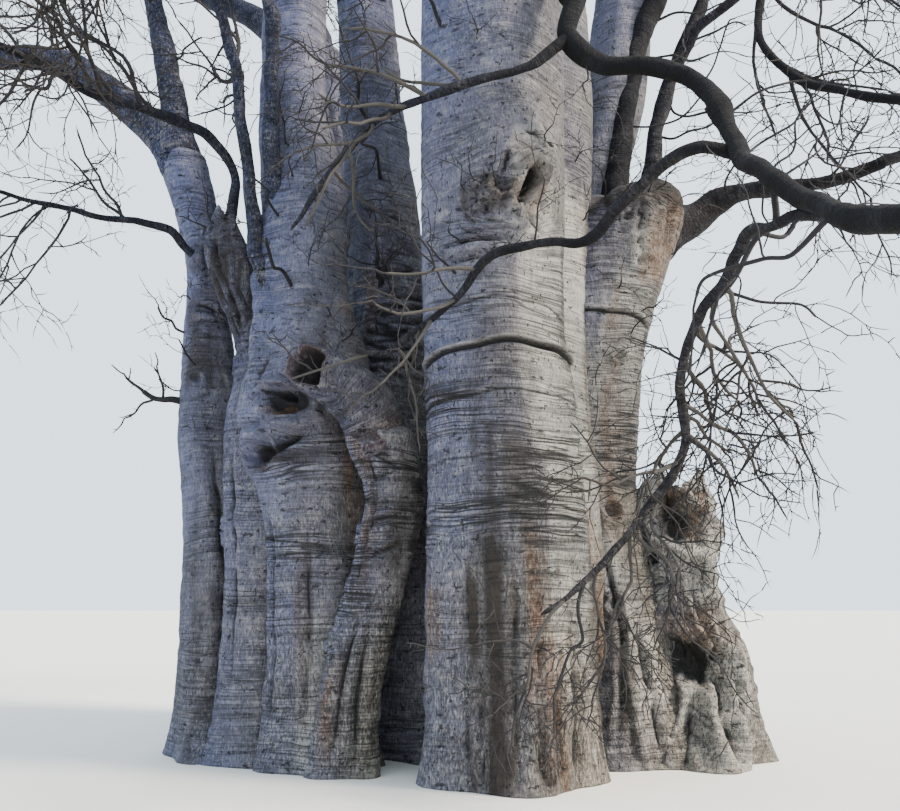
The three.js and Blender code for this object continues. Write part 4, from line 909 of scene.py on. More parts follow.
# Boughs: bark wrinkled across where they bend, with a thick root that grows out of the fork
boughBark = {
    "sides": 22, "step": 0.05, "swell": 0.14, "wobble": 0.3, "settled": 0.6, "rootFlare": 0.3, "flareLength": 0.4,
    "wrinkle": 0.035, "wrinkleGap": 0.09, "rootShade": 0.1, "tipShade": 0.9, "rust": 0, "rings": 0.3, "rough": 0.6,
    "knuckles": (), "knuckleHalf": 0.16,  # (metres from the root, how much thicker), and their half length
    "openEnd": 0, "cutBack": 0,  # how deep a torn end is hollow, and how far one side is torn back
    "openRim": 0.05, "raggedFrom": 0.6, "tear": 0.14,  # its rim, how far back it is ragged, and how much
    "rustTo": 0.5, "limbTip": 0.3,
}
boughLooks = {
    "bough_stub": {
        "rootFlare": 0.1, "rootShade": 0.0, "tipShade": 0.0, "swell": 0.16, "wrinkle": 0.09, "sides": 60,
        "step": 0.022, "wobble": 0, "rust": 0.5, "rough": 0.1, "openEnd": 0.35, "cutBack": 0.2,
    },
    "bough_left_arch": {"rootFlare": 0.05, "rootShade": 0.0, "tipShade": 0.5, "sides": 30, "wobble": 0.15},
    "bough_left_rise": {"rootFlare": 0.05, "rootShade": 0.0, "tipShade": 0.5, "sides": 30, "wobble": 0.15},
    "bough_right_sweep": {
        "rootFlare": 0.2, "rootShade": 1.0, "tipShade": 1.0, "sides": 30, "step": 0.03, "swell": 0.1,
        "wrinkle": 0.02, "wobble": 0.4,
        "knuckles": ((1.15, 0.4), (1.9, 0.1), (2.9, 0.1), (4.1, 0.15), (5.1, 0.1), (6.2, 0.15), (7.1, 0.1)),
    },
    "bough_right_low": {
        "rootShade": 0.5, "tipShade": 1.0, "rust": 0.9, "knuckles": ((0.5, 0.15), (1.0, 0.12), (1.6, 0.15)),
    },
    "bough_right_dark": {"rootFlare": 0.4, "flareLength": 0.5, "rootShade": 0.8, "tipShade": 0.9},
    "bough_right_rise": {"rootFlare": 0.4, "flareLength": 0.5, "rootShade": 0.5, "tipShade": 0.9},
}
limbBark = {  # where the slender limbs that carry twigs differ
    "sides": 16, "swell": 0.1, "wrinkle": 0.05, "wobble": 0, "rootFlare": 0.25, "flareLength": 0.15,
}
limbLooks = {
    "twigs_crossing": {"rootShade": 1.0, "tipShade": 0.8},
    "twigs_hanging_right": {"rootShade": 1.0, "tipShade": 0.6},
    "twigs_high_right": {"rootShade": 0.9, "tipShade": 1.0},
    "twigs_fork_right": {"rootShade": 0.7, "tipShade": 0.9},
    "twigs_left_dark": {"rootShade": 0.7, "tipShade": 0.9, "rootFlare": 0.5},
    "twigs_left_low": {"rootShade": 0.5, "tipShade": 0.9, "rootFlare": 0.7},
    "twigs_left_inner": {"rootShade": 0.0, "tipShade": 0.6, "rootFlare": 0.1},
    "twigs_left_upright": {"rootShade": 0.0, "tipShade": 0.6, "rootFlare": 0.1},
    "twigs_front_left": {"rootShade": 1.0, "tipShade": 0.6},
}


def framesAlong(centres):
    # a direction across the limb at each centre, carried along without twisting, and one beside it
    ways = np.gradient(centres, axis=0)
    ways /= lengthOf(ways)
    across = perpendicular(ways[:1])[0]
    carried = []
    for way in ways:
        across = across - way * (across @ way)
        across /= np.linalg.norm(across)
        carried.append(across)
    carried = np.array(carried)
    return carried, np.cross(ways, carried)


def perpendicular(ways):  # a direction square to each way, the same one each time
    steep = np.abs(ways[:, 2:]) >= 0.9
    across = np.cross(np.where(steep, (1.0, 0.0, 0.0), (0.0, 0.0, 1.0)), ways)
    return across / lengthOf(across)


def dressBough(name, rows, seed, material):
    isLimb = name in limbLooks
    look = {**boughBark, **limbBark, **limbLooks[name]} if isLimb else {**boughBark, **boughLooks.get(name, {})}
    knots = chordKnots(rows)
    count = int(knots[-1] / look["step"])
    places = np.linspace(0, knots[-1], count)
    inwards, ragged = np.ones(count), np.zeros(count)
    if look["openEnd"]:
        inner, lifts, rag = hollowRows(look["openRim"], look["openEnd"])
        places = np.concatenate([places, knots[-1] + lifts])
        inwards = np.concatenate([inwards, inner])
        below = smoothStep(knots[-1] - look["raggedFrom"], knots[-1], places[:count])
        ragged = np.concatenate([below, rag])
    line = lineAt(knots, rows, np.clip(places, 0, knots[-1]))
    wobble = np.stack([softNoise(line[:, :3], 0.5, seed + 20 + k) for k in range(4)], axis=1)
    settled = smoothStep(0, look["settled"], places)[:, None]
    line[:, :3] += wobble[:, :3] * settled * look["wobble"] * line[:, 3:]
    line[:, 3] *= 1 + 0.5 * look["wobble"] * wobble[:, 3]
    across, beside = framesAlong(line[:count, :3])
    ways = np.cross(across, beside)
    if isLimb:
        line[-1, 3] *= look["limbTip"]
    mesh, turn, row = drumMesh(f"{name}_bark", look["sides"], len(places))
    station = np.minimum(row, count - 1)
    knuckles = sum(stand * bump((places - place) / look["knuckleHalf"]) for place, stand in look["knuckles"])
    knuckles = knuckles + look["rootFlare"] * np.exp(-places / look["flareLength"])
    radius = line[row, 3] * (1 + knuckles[row])
    outward = across[station] * np.cos(turn)[:, None] + beside[station] * np.sin(turn)[:, None]
    beyond = (places[row] - knots[-1]) * (row >= count - 1)
    torn = look["tear"] * softNoise(rimPoints(turn), 0.3, seed + 16) + look["cutBack"] * outward[:, 1]
    centre = line[row, :3] + ways[station] * (beyond + ragged[row] * torn)[:, None]
    inward = inwards[row]
    points = centre + outward * (radius * inward)[:, None]
    relief, cleft, field, drift = boughRelief(look, seed, points, places[row], radius)
    points = points + outward * (relief * inward)[:, None]
    placePoints(mesh, points)
    part = np.clip(places[row] / knots[-1], 0, 1)
    # painted shade along the bough, from its share at the root to its share at the tip
    paintedShade = look["rootShade"] + (look["tipShade"] - look["rootShade"]) * part**0.6
    patchy = smoothStep(-0.5, 0.5, softNoise(points, 0.3, seed + 5))
    rust = look["rust"] * smoothStep(look["rustTo"], 0, part) * patchy
    marks = {kind: np.full(len(row), look.get(kind, 0.0)) for kind in ("stainAndShade", "paleAndHighlight", "rings", "rough")}
    marks.update({
        "rust": np.maximum(rust, 0.6 * smoothStep(0.98, 0.9, inward)),
        "paintedShade": paintedShade + 0.15 * softNoise(points, 0.3, seed + 6),
        # painted shade in the wrinkle clefts and down inside a torn end
        "hollow": 0.3 * cleft + smoothStep(0.92, 0.65, inward),
        "field": 0.5 + 0.5 * field, "level": drift, "paintedSkyLight": paintedSkyLightShare(points, outward[:, 0], seed + 11),
    })
    paintMarks(mesh, marks)
    return addPiece(mesh, [] if isLimb else [name], [material])


def boughRelief(look, seed, points, places, radius):
    # metres outwards, with how deep in a wrinkle each point is and how the wrinkles run
    size = radius.mean()
    relief = look["swell"] * radius * softNoise(points, 3 * size, seed)
    relief += 0.5 * look["swell"] * radius * softNoise(points, size, seed + 1)
    drift = places + 0.3 * size * softNoise(points, 1.5 * size, seed + 3)
    levels = np.stack([points[:, 0], points[:, 1], drift / look["wrinkleGap"]], axis=1)
    field = softNoise(levels, 1, seed + 2)
    cleft = bump(field / 0.3) * smoothStep(-0.4, 0.3, softNoise(points, 2 * size, seed + 4))
    return relief - look["wrinkle"] * radius * cleft, cleft, field, drift


# How twigs grow: a twig of one level carries side twigs and a leader of the next level.
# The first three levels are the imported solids' own; finer ones follow by the same rule.
twigRule = {
    "pieces": (4, 2, 1, 2, 2, 2),  # straight pieces at each level
    "packedTwigs": (4, 1, 0, 0, 0),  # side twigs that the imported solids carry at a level
    "moreTwigs": (9, 4, 2, 1, 0),  # that grow beside them here
    "spurs": (2, 2, 1, 1, 1),  # and short ones
    "lengthRatio": (0.62, 0.62, 0.72, 0.78, 0.8),
    "spurLength": 0.3,
    "spurGirth": 0.45,
    "shortest": 0.17,
    "girthRatio": 0.62,
    "tipGirth": 0.55,
    "thinnest": 0.006,
    "wander": 0.24,
    "lastPlace": 0.92,  # of a side twig, and the first one on a twig: shares of its length
    "firstPlace": 0.35,
    "leaderPlace": 0.96,
    "spots": (0.08, 0.84, 0.08),  # between those: where side twigs begin, spread and stray
    "leaderTilt": (0.15, 0.3),  # radians from the twig that carries it: at least, and up to so much more
    "sideTilt": (0.75, 0.5),
    "spurTilt": 0.2,
    "turnStray": 0.8,
    "lengthFall": (1.1, 0.3),  # at the root of the twig that carries it, and less by this at its tip
    "lengthStray": (0.8, 0.4),  # at least, and up to so much more
    "leaderGirth": 0.9,
    "stemGirth": (0.95, 0.42),  # of a mass's stem at root and tip, beside its bough's tip
    "seat": 0.0003,  # that a packed stem stands off its bough
    "clearance": 0.04,
    "margin": 0.15,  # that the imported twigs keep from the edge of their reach
    "offGround": 0.25,
    "overhang": 0.3,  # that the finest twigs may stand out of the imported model's box
}
twigLooks = {
    "sides": (12, 7, 5, 4, 3, 3),
    "cuts": (7, 6, 8, 2, 2, 1),  # how many parts each straight piece is bent in when drawn
    "girth": (1, 0.8, 1, 1.15, 1.1, 1),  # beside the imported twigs
    "bow": 0.1,  # of a drawn twig, as a share of its length
    "sway": 0.012,  # of its bends, the same way
    "stemStray": (0.35, 0.3, 0.03),  # small bends of a mass's stem: length, share of its radius, metres
    "stemBend": (1.1, 0.07),  # wide ones: length, metres
    "settled": 0.4,  # how far from the root they begin
    "sunk": (0.05, 0.2),  # a stem's root in a bough, and in a thick stem
}
sparseTwigs = {"twigs_crossing": (1, 1, 1, 1, 0), "twigs_front_left": (4, 2, 1, 1, 0)}  # instead of moreTwigs
goldenTurn = 2.39996  # radians between side twigs
goldenShare = 0.618034  # the step between them, as a share of the twig's length


def crookedRows(place, heading, length, girth, tip, pieces, lift, seed):
    # straight pieces that stray from their heading by a seeded rule, for many twigs at once
    rows = np.empty((len(seed), pieces + 1, 4))
    point, way = place, heading
    rows[:, 0, :3], rows[:, 0, 3] = point, girth
    for i in range(pieces):
        point = point + way * (length / pieces)[:, None]
        rows[:, i + 1, :3] = point
        rows[:, i + 1, 3] = girth + (tip - girth) * (i + 1) / pieces
        stray = np.stack([draw(seed, 3 * i + j) - 0.5 for j in (11, 12, 13)], axis=1)
        way = way + stray * 2 * twigRule["wander"] + (0, 0, lift)
        way = way / lengthOf(way)
    return rows


def tipStem(mass, rows, seed):  # the stem of a mass, grown on from its bough's tip
    knots = chordKnots(rows)
    nudge = knots[-1] * 1e-3
    ends = lineAt(knots, rows, [knots[-1] - nudge, knots[-1]])[:, :3]
    heading = (ends[1:] - ends[:1]) / lengthOf(ends[1:] - ends[:1])
    place = np.array(rows[-1][:3]) + heading * twigRule["seat"]
    girth, tip = [np.array([rows[-1][3]]) * share for share in twigRule["stemGirth"]]
    length, pieces = np.array([mass["stem"]]), twigRule["pieces"][0]
    return crookedRows(place, heading, length, girth, tip, pieces, mass["lift"], seed)[0]


def placeOn(rows, share):
    # point, heading and radius at a share of each twig's length, and the place in pieces
    chords = lengthOf(np.diff(rows[:, :, :3], axis=1))[:, :, 0]
    knots = np.concatenate([np.zeros((len(rows), 1)), np.cumsum(chords, axis=1)], axis=1)
    s = (share * knots[:, -1])[:, None]
    i = (s > knots[:, 1:-1]).sum(axis=1)
    one = np.arange(len(rows))
    part = (s[:, 0] - knots[one, i]) / (knots[one, i + 1] - knots[one, i])
    found = rows[one, i] + (rows[one, i + 1] - rows[one, i]) * part[:, None]
    heading = rows[one, i + 1, :3] - rows[one, i, :3]
    return found[:, :3], heading / lengthOf(heading), found[:, 3], i + part


def shootsOf(twigs, mass, level):
    # the leader, side twigs and spurs that grow from every twig of a level
    rule = twigRule
    packedSides = mass.get("side", rule["packedTwigs"][0]) if level == 0 else rule["packedTwigs"][level]
    more = sparseTwigs.get(mass["name"], rule["moreTwigs"])
    sides = packedSides + (more[level] if "levels" not in mass else 0)
    first = mass["first"] if level == 0 else rule["firstPlace"]
    begin, between, stray = rule["spots"]
    base = mass["spread"] if level == 0 else twigs["length"] * rule["lengthRatio"][level]
    start = 2 * math.pi * draw(twigs["seed"], 1)
    shoots = {key: [] for key in ("rows", "length", "seed", "shift", "spray", "packed", "grown")}
    for k in (*range(sides + rule["spurs"][level]), -1):
        leader, spur = k < 0, k >= sides
        seed = seedOf(twigs["seed"], 40 + k)
        spot = begin + between * ((0.5 + goldenShare * k) % 1) + stray * draw(seed, 2)
        share = first + (rule["lastPlace"] - first) * spot
        if leader:
            share = np.full(len(seed), rule["leaderPlace"])
        place, along, radius, piece = placeOn(twigs["rows"], share)
        least, extra = rule["leaderTilt" if leader else "sideTilt"]
        tilt = least + rule["spurTilt"] * spur + extra * draw(seed, 3)
        turn = start + goldenTurn * k + rule["turnStray"] * (draw(seed, 4) - 0.5)
        across = perpendicular(along)
        beside = np.cross(along, across)
        outward = across * np.cos(turn)[:, None] + beside * np.sin(turn)[:, None]
        heading = along * np.cos(tilt)[:, None] + outward * np.sin(tilt)[:, None]
        heading = heading + (0, 0, mass["lift"])
        heading = heading / lengthOf(heading)
        least, extra = rule["lengthStray"]
        longest, fall = rule["lengthFall"]
        length = base * (longest - fall * share) * (least + extra * draw(seed, 5))
        grown = length > rule["shortest"]
        length = length * (rule["spurLength"] if spur else 1)
        thinner = rule["leaderGirth"] if leader else rule["girthRatio"] * (rule["spurGirth"] if spur else 1)
        girth = radius * thinner
        girth = np.maximum(girth, rule["thinnest"])
        tip = np.maximum(girth * rule["tipGirth"], rule["thinnest"] * 0.5)
        rows = crookedRows(place, heading, length, girth, tip, rule["pieces"][level + 1], mass["lift"], seed)
        shoots["rows"].append(rows)
        shoots["length"].append(length)
        shoots["seed"].append(seed)
        shoots["shift"].append(drawnPlace(twigs["drawn"], piece, twigs["rows"].shape[1]) - place)
        shoots["spray"].append(seed if level == 0 else twigs["spray"])
        shoots["packed"].append(twigs["packed"] & (leader or k < packedSides) & (level < 2))
        shoots["grown"].append(grown | shoots["packed"][-1])
    return {key: np.concatenate(values) for key, values in shoots.items()}


def drawnPlace(drawn, piece, knotCount):  # where a place on the straight pieces lies when drawn
    cuts = (drawn.shape[1] - 1) // (knotCount - 1)
    s = piece * cuts
    i = np.minimum(s.astype(int), drawn.shape[1] - 2)
    one = np.arange(len(drawn))
    return drawn[one, i, :3] + (drawn[one, i + 1, :3] - drawn[one, i, :3]) * (s - i)[:, None]


def bendPieces(twigs, level):
    # the drawn line: bent smoothly and bowed, and carried along with the twig it grows from
    rows, cuts = twigs["rows"], twigLooks["cuts"][level]
    pieces = rows.shape[1] - 1
    places = np.arange(pieces * cuts + 1) / cuts
    i = np.minimum(places.astype(int), pieces - 1)
    u = (places - i)[None, :, None]
    steps = np.diff(rows, axis=1)
    slopes = np.concatenate([steps[:, :1], (steps[:, 1:] + steps[:, :-1]) / 2, steps[:, -1:]], axis=1)
    drawn = (2 * u**3 - 3 * u**2 + 1) * rows[:, i] + (u**3 - 2 * u**2 + u) * slopes[:, i]
    drawn += (3 * u**2 - 2 * u**3) * rows[:, i + 1] + (u**3 - u**2) * slopes[:, i + 1]
    part = places / pieces
    bow = twigLooks["bow"]
    for kind, size, shape in (
        (200, bow, np.sin(math.pi * part)),
        (210, bow / 2, np.sin(2 * math.pi * part)),
        (220, bow / 4, np.sin(4.5 * math.pi * part) * (1 - part)),
    ):
        aside = np.stack([draw(twigs["seed"], kind + k) - 0.5 for k in range(3)], axis=1) * 2
        drawn[:, :, :3] += (aside * size * twigs["length"][:, None])[:, None] * shape[:, None]
    for j in range(1, len(places)):
        stray = np.stack([draw(twigs["seed"], 230 + 3 * j + k) - 0.5 for k in range(3)], axis=1)
        drawn[:, j, :3] += stray * 2 * twigLooks["sway"] * twigs["length"][:, None] / cuts**0.5
        drawn[:, j, 3] *= 0.88 + 0.24 * draw(twigs["seed"], 330 + j)
    drawn[:, :, :3] += twigs["shift"][:, None]
    drawn[:, :, 3] *= twigLooks["girth"][level]
    return drawn


def segmentsOf(lines, low, high):  # straight pieces of some lines that come near a box
    starts = np.concatenate([np.asarray(line, dtype=float)[:-1] for line in lines])
    ends = np.concatenate([np.asarray(line, dtype=float)[1:] for line in lines])
    lowest, highest = np.minimum(starts, ends)[:, :3], np.maximum(starts, ends)[:, :3]
    near = (lowest < high).all(axis=1) & (highest > low).all(axis=1)
    return starts[near], ends[near]


def distanceTo(points, segments, solid):  # to the nearest of some pieces, less its radius if solid
    nearest = np.full(len(points), np.inf)
    for start, end in zip(*segments):
        piece = end[:3] - start[:3]
        part = np.clip((points - start[:3]) @ piece / (piece @ piece), 0, 1)
        away = np.linalg.norm(points - start[:3] - part[:, None] * piece, axis=1)
        if solid:
            away = away - start[3] - (end[3] - start[3]) * part
        nearest = np.minimum(nearest, away)
    return nearest


def keepsClear(twigs, mass, nearby):
    # whether each twig keeps to its mass's own space, off the ground and clear of every limb
    rows = twigs["rows"]
    steps = rows[:, 1:] - rows[:, :-1]
    samples = np.concatenate([rows[:, :-1] + steps * part for part in (1 / 3, 2 / 3, 1)], axis=1)
    count = samples.shape[1]
    points, room = samples[:, :, :3].reshape(-1, 3), samples[:, :, 3].ravel() + twigRule["clearance"]
    packed = np.repeat(twigs["packed"], count)
    own = distanceTo(points, nearby["own"], False)
    fits = (points[:, 2] >= twigRule["offGround"]) & (own <= mass["reach"] - twigRule["margin"] * packed)
    fits &= packed | ((points > nearby["low"]) & (points < nearby["high"])).all(axis=1)
    fits &= distanceTo(points, nearby["masses"], False) >= own + 2 * room
    fits &= distanceTo(points, nearby["limbs"], True) >= room
    return fits.reshape(-1, count).all(axis=1)


def growTwigs(mass, masses, limbs):
    # the stem and twigs of a mass, one level after another
    line = np.asarray(mass["line"], dtype=float)
    low, high = line[:, :3].min(axis=0), line[:, :3].max(axis=0)
    reach = 2 * mass["reach"] + 0.3
    others = [other["line"] for other in masses if other is not mass]
    nearby = {
        "own": segmentsOf([line], low - 1, high + 1),
        "masses": segmentsOf(others, low - reach, high + reach),
        "limbs": segmentsOf(limbs, low - reach, high + reach),
        "low": np.array(packedBox[0]) - twigRule["overhang"],
        "high": np.array(packedBox[1]) + twigRule["overhang"],
    }
    levels = [{
        "rows": line[None], "length": np.array([0.0]), "seed": mass["seed"], "shift": np.zeros((1, 3)),
        "spray": mass["seed"], "packed": np.array([True]), "drawn": smoothStem(line, mass),
    }]
    for level in range(mass.get("levels", len(twigRule["spurs"]))):
        shoots = shootsOf(levels[-1], mass, level)
        shoots = {key: values[shoots["grown"]] for key, values in shoots.items()}
        fits = keepsClear(shoots, mass, nearby)
        shoots = {key: values[fits] for key, values in shoots.items()}
        shoots["drawn"] = bendPieces(shoots, level + 1)
        levels.append(shoots)
    return levels


def smoothStem(line, mass):  # the drawn line of a mass's stem, sunk a little into what carries it
    seed = mass["seed"]
    knots = chordKnots(line)
    cuts = twigLooks["cuts"][0]
    part = np.arange((len(line) - 1) * cuts + 1) / cuts
    i = np.minimum(part.astype(int), len(line) - 2)
    places = knots[i] + (knots[i + 1] - knots[i]) * (part - i)
    drawn = lineAt(knots, line, places)
    length, share, least = twigLooks["stemStray"]
    stray = np.stack([softNoise(drawn[:, :3], length, int(seed[0]) + k) for k in range(4)], axis=1)
    settled = smoothStep(0, twigLooks["settled"], places)[:, None]
    length, bend = twigLooks["stemBend"]
    bends = np.stack([softNoise(drawn[:, :3], length, int(seed[0]) + 5 + k) for k in range(3)], axis=1)
    drawn[:, :3] += stray[:, :3] * settled * (share * drawn[:, 3:] + least) + bends * settled * bend
    drawn[:, 3] *= 1 + 0.2 * stray[:, 3]
    way = (drawn[1, :3] - drawn[0, :3]) / np.linalg.norm(drawn[1, :3] - drawn[0, :3])
    drawn[0, :3] -= way * twigLooks["sunk"][mass["name"] in deepRoots]
    return drawn[None]


def tubesOf(drawn, sides, seed):
    # points and faces of closed tubes along many lines, each ending in a point
    count, rings = drawn.shape[:2]
    points = np.empty((count, (rings - 1) * sides + 1, 3))
    way = drawn[:, 1, :3] - drawn[:, 0, :3]
    across = perpendicular(way / lengthOf(way))
    for j in range(rings - 1):
        way = drawn[:, j + 1, :3] - drawn[:, max(j - 1, 0), :3]
        way = way / lengthOf(way)
        across = across - way * (across * way).sum(axis=1, keepdims=True)
        across = across / lengthOf(across)
        beside = np.cross(way, across)
        for k in range(sides):
            angle = 2 * math.pi * k / sides + draw(seed, 6) * 6
            outward = across * np.cos(angle)[:, None] + beside * np.sin(angle)[:, None]
            points[:, j * sides + k] = drawn[:, j, :3] + outward * drawn[:, j, 3:]
    points[:, -1] = drawn[:, -1, :3]
    ring = np.arange(sides)
    turned = (ring + 1) % sides
    wall = np.stack([ring, turned, turned + sides, ring + sides], axis=1)
    walls = [wall + j * sides for j in range(rings - 2)]
    point = np.full(sides, points.shape[1] - 1)
    tips = np.stack([ring + (rings - 2) * sides, turned + (rings - 2) * sides, point], axis=1)
    shapes = [np.concatenate(walls) if walls else np.empty((0, 4), int), tips, ring[::-1][None]]
    firsts = np.arange(count)[:, None, None] * points.shape[1]
    return points.reshape(-1, 3), [(shape[None] + firsts).reshape(-1, shape.shape[1]) for shape in shapes]


def sprayMesh(name, sprays, first=0, tone=0, finer=0):
    # the twigs of some masses from their first level on, in one mesh. The first twigs have one
    # finish, and that of finer ones is dealt out by spray.
    points, corners, sizes, finishes = [], [], [], []
    total = 0
    for level, twigs in [pair for levels in sprays for pair in list(enumerate(levels))[first:]]:
        if not len(twigs["seed"]):
            continue
        sides = twigLooks["sides"][min(level + finer, 5)]
        found, shapes = tubesOf(twigs["drawn"], sides, twigs["seed"])
        dealt = 1 + (mix(twigs["spray"]) % 3) if level > 1 else np.full(len(twigs["seed"]), tone)
        for shape in shapes:
            if not len(shape):
                continue
            corners.append((shape + total).ravel())
            sizes.append(np.full(len(shape), shape.shape[1]))
            finishes.append(np.repeat(dealt, len(shape) // len(dealt)))
        points.append(found)
        total += len(found)
    corners, sizes = np.concatenate(corners), np.concatenate(sizes)
    mesh = bpy.data.meshes.new(name)
    mesh.vertices.add(total)
    mesh.vertices.foreach_set("co", np.concatenate(points).astype(np.float32).ravel())
    mesh.loops.add(len(corners))
    mesh.loops.foreach_set("vertex_index", corners.astype(np.int32))
    mesh.polygons.add(len(sizes))
    starts = np.cumsum(sizes) - sizes
    mesh.polygons.foreach_set("loop_start", starts.astype(np.int32))
    mesh.polygons.foreach_set("material_index", np.concatenate(finishes).astype(np.int32))
    mesh.polygons.foreach_set("use_smooth", np.ones(len(sizes), dtype=bool))
    mesh.update(calc_edges=True)
    return mesh


# Shoots that sprout straight from the bark of a stem: height, degrees from +X and length, and the
# thickness of a dead snag. The order sets the seed of each.
barkShoots = [
    ("stem_front", [
        (6.05, 268, 0.3), (6.14, 256, 0.28), (5.93, 274, 0.24), (6.02, 250, 0.24), (5.5, 243, 0.22),
        (6.6, 305, 0.3), (1.3, 285, 0.2), (7.9, 255, 0.25), (3.3, 120, 0.3),
    ]),
    ("stem_right", [
        (6.75, 290, 0.4), (6.7, 318, 0.42), (6.6, 265, 0.35), (5.55, 285, 0.3), (5.35, 315, 0.32),
        (5.0, 300, 0.3), (6.85, 272, 0.5), (6.9, 300, 0.5), (6.8, 250, 0.45), (6.1, 332, 0.35),
    ]),
    ("stem_front_right", [(7.2, 315, 0.35), (6.4, 325, 0.3)]),
    ("stem_left_pollard", [
        (6.62, 215, 0.35), (6.6, 262, 0.35), (6.5, 300, 0.3), (6.0, 240, 0.25), (5.5, 280, 0.25),
        (6.6, 160, 0.3),
    ]),
    ("stem_left_inner", [
        (5.9, 285, 0.35), (5.2, 300, 0.3), (7.2, 265, 0.3), (4.9, 318, 0.35), (4.55, 300, 0.3), (8.2, 282, 0.3),
    ]),
    ("stem_left_outer", [(4.35, 196, 0.5, 0.05), (5.3, 215, 0.4, 0.02), (4.75, 262, 0.6, 0.014)]),
    ("stem_left_inner", [(6.6, 245, 0.7, 0.02), (5.6, 262, 0.7, 0.025), (7.7, 262, 0.6, 0.02)]),
    ("stem_middle", [(5.85, 262, 0.5, 0.04), (7.6, 275, 0.8, 0.03), (8.6, 262, 0.8, 0.03)]),
    ("stem_front", [(8.6, 262, 0.7, 0.02), (8.1, 225, 0.8, 0.025), (5.2, 238, 0.5, 0.014)]),
    ("stem_left_outer", [(5.75, 235, 0.3), (4.5, 205, 0.35), (3.9, 282, 0.3)]),
    ("stem_middle", [
        (6.1, 262, 0.4), (5.6, 285, 0.4), (5.2, 262, 0.35), (6.6, 290, 0.35), (6.9, 255, 0.3), (4.9, 300, 0.3),
    ]),
    ("stem_back", [(5.2, 95, 0.35), (7.3, 60, 0.3)]),
    ("stem_back_left", [(4.1, 160, 0.35)]),
    ("stem_back_right", [(4.6, 20, 0.35), (6.3, 45, 0.3)]),
    ("stem_back_left", [(6.6, 130, 0.3)]),
]
deepRoots = ("twigs_left_dark", "twigs_left_low", "twigs_left_inner", "twigs_left_upright")  # in a thick stem
firstTones = {  # a mass's first twigs in another tone, by place in twigFinish: 4 is a paler tone that paints the sky light on them, 5 is mauve
    "twigs_crossing": 4, "twigs_hanging_right": 4, "twigs_front_left": 4, "twigs_left_upright": 5,
}
# Shoots along boughs and limbs: share of its length, way they grow, length and thickness
boughShoots = [
    ("bough_right_sweep", [
        (0.15, (0.2, -0.2, 1), 0.5, 0.012), (0.22, (0.1, 0.3, -1), 0.4, 0.01), (0.3, (1, 0, 0.8), 0.6, 0.012),
        (0.37, (0.5, -0.3, 1), 0.6, 0.012), (0.45, (1, 0.2, 0.3), 0.7, 0.014), (0.5, (-0.6, 0, -1), 0.4, 0.01),
        (0.56, (0.9, -0.2, 0.6), 0.7, 0.014), (0.62, (-0.3, 0.3, -1), 0.5, 0.01),
        (0.68, (0.8, 0.3, 0.7), 0.8, 0.014), (0.76, (0.2, -0.4, -1), 0.5, 0.01),
    ]),
    ("bough_right_low", [
        (0.35, (0.2, -0.5, 1), 0.9, 0.018), (0.5, (0.5, -0.4, 0.9), 1.1, 0.02),
        (0.62, (0.4, -0.5, -0.8), 0.8, 0.016), (0.75, (0.8, -0.3, 0.7), 1.2, 0.02),
        (0.85, (0.3, -0.6, -1), 0.9, 0.016), (0.95, (1, 0, 0.3), 1.0, 0.018),
    ]),
    ("bough_right_dark", [
        (0.3, (1, -0.6, 0.3), 0.9, 0.018), (0.45, (1, -0.4, 0.5), 1.2, 0.022),
        (0.62, (1, -0.2, 0.2), 1.2, 0.022),
    ]),
    ("bough_right_rise", [
        (0.35, (1, -0.5, 0.2), 1.0, 0.02), (0.48, (1, -0.3, -0.1), 1.3, 0.022),
        (0.62, (1, -0.6, 0.2), 1.3, 0.022),
    ]),
    ("bough_left_arch", [
        (0.3, (-0.3, -0.8, 0.8), 0.8, 0.016), (0.5, (-0.5, -0.6, -0.6), 0.8, 0.016),
        (0.7, (-0.6, -0.6, 0.6), 0.9, 0.018), (0.85, (0, -0.7, -1), 0.8, 0.014),
    ]),
    ("bough_left_rise", [
        (0.25, (-0.8, -0.5, 0.4), 0.8, 0.018), (0.4, (0.8, -0.6, 0.4), 0.8, 0.018),
        (0.6, (-0.6, -0.6, 0.5), 1.0, 0.018),
    ]),
    ("bough_right_sweep", [(0.66, (-0.8, 0.5, -0.9), 1.0, 0.03), (0.8, (-0.9, 0.6, -0.5), 0.9, 0.02)]),
    ("twigs_hanging_right", [
        (0.3, (1, 0.2, 0.2), 0.9, 0.02), (0.42, (0.8, 0, -0.6), 0.9, 0.018),
        (0.55, (-0.8, -0.3, 0.2), 0.5, 0.012), (0.66, (0.6, -0.3, -0.8), 0.8, 0.018),
        (0.8, (0.3, -0.3, -1), 1.0, 0.022), (0.92, (-0.2, -0.2, -1), 0.9, 0.018),
    ]),
    ("twigs_crossing", [
        (0.5, (0.3, -0.2, 1), 0.5, 0.012), (0.72, (-0.6, -0.3, 0.8), 0.7, 0.014),
        (0.85, (-0.5, -0.2, -0.9), 0.6, 0.012),
    ]),
]


shootForm = {
    "girth": 0.011, "taper": 0.35, "crook": 0.09, "pieces": 4,  # crook as a share of the length
    "sunk": 0.04, "rise": 0.45, "boughSunk": 0.4,  # metres into a stem, its climb, share of a bough's radius
    "reach": (0.9, 1.1), "longFrom": 0.7, "sides": (2, 3), "lift": 0.06, "first": 0.35, "levels": 3,
    "finer": 2,  # levels by which it is drawn with fewer sides
}


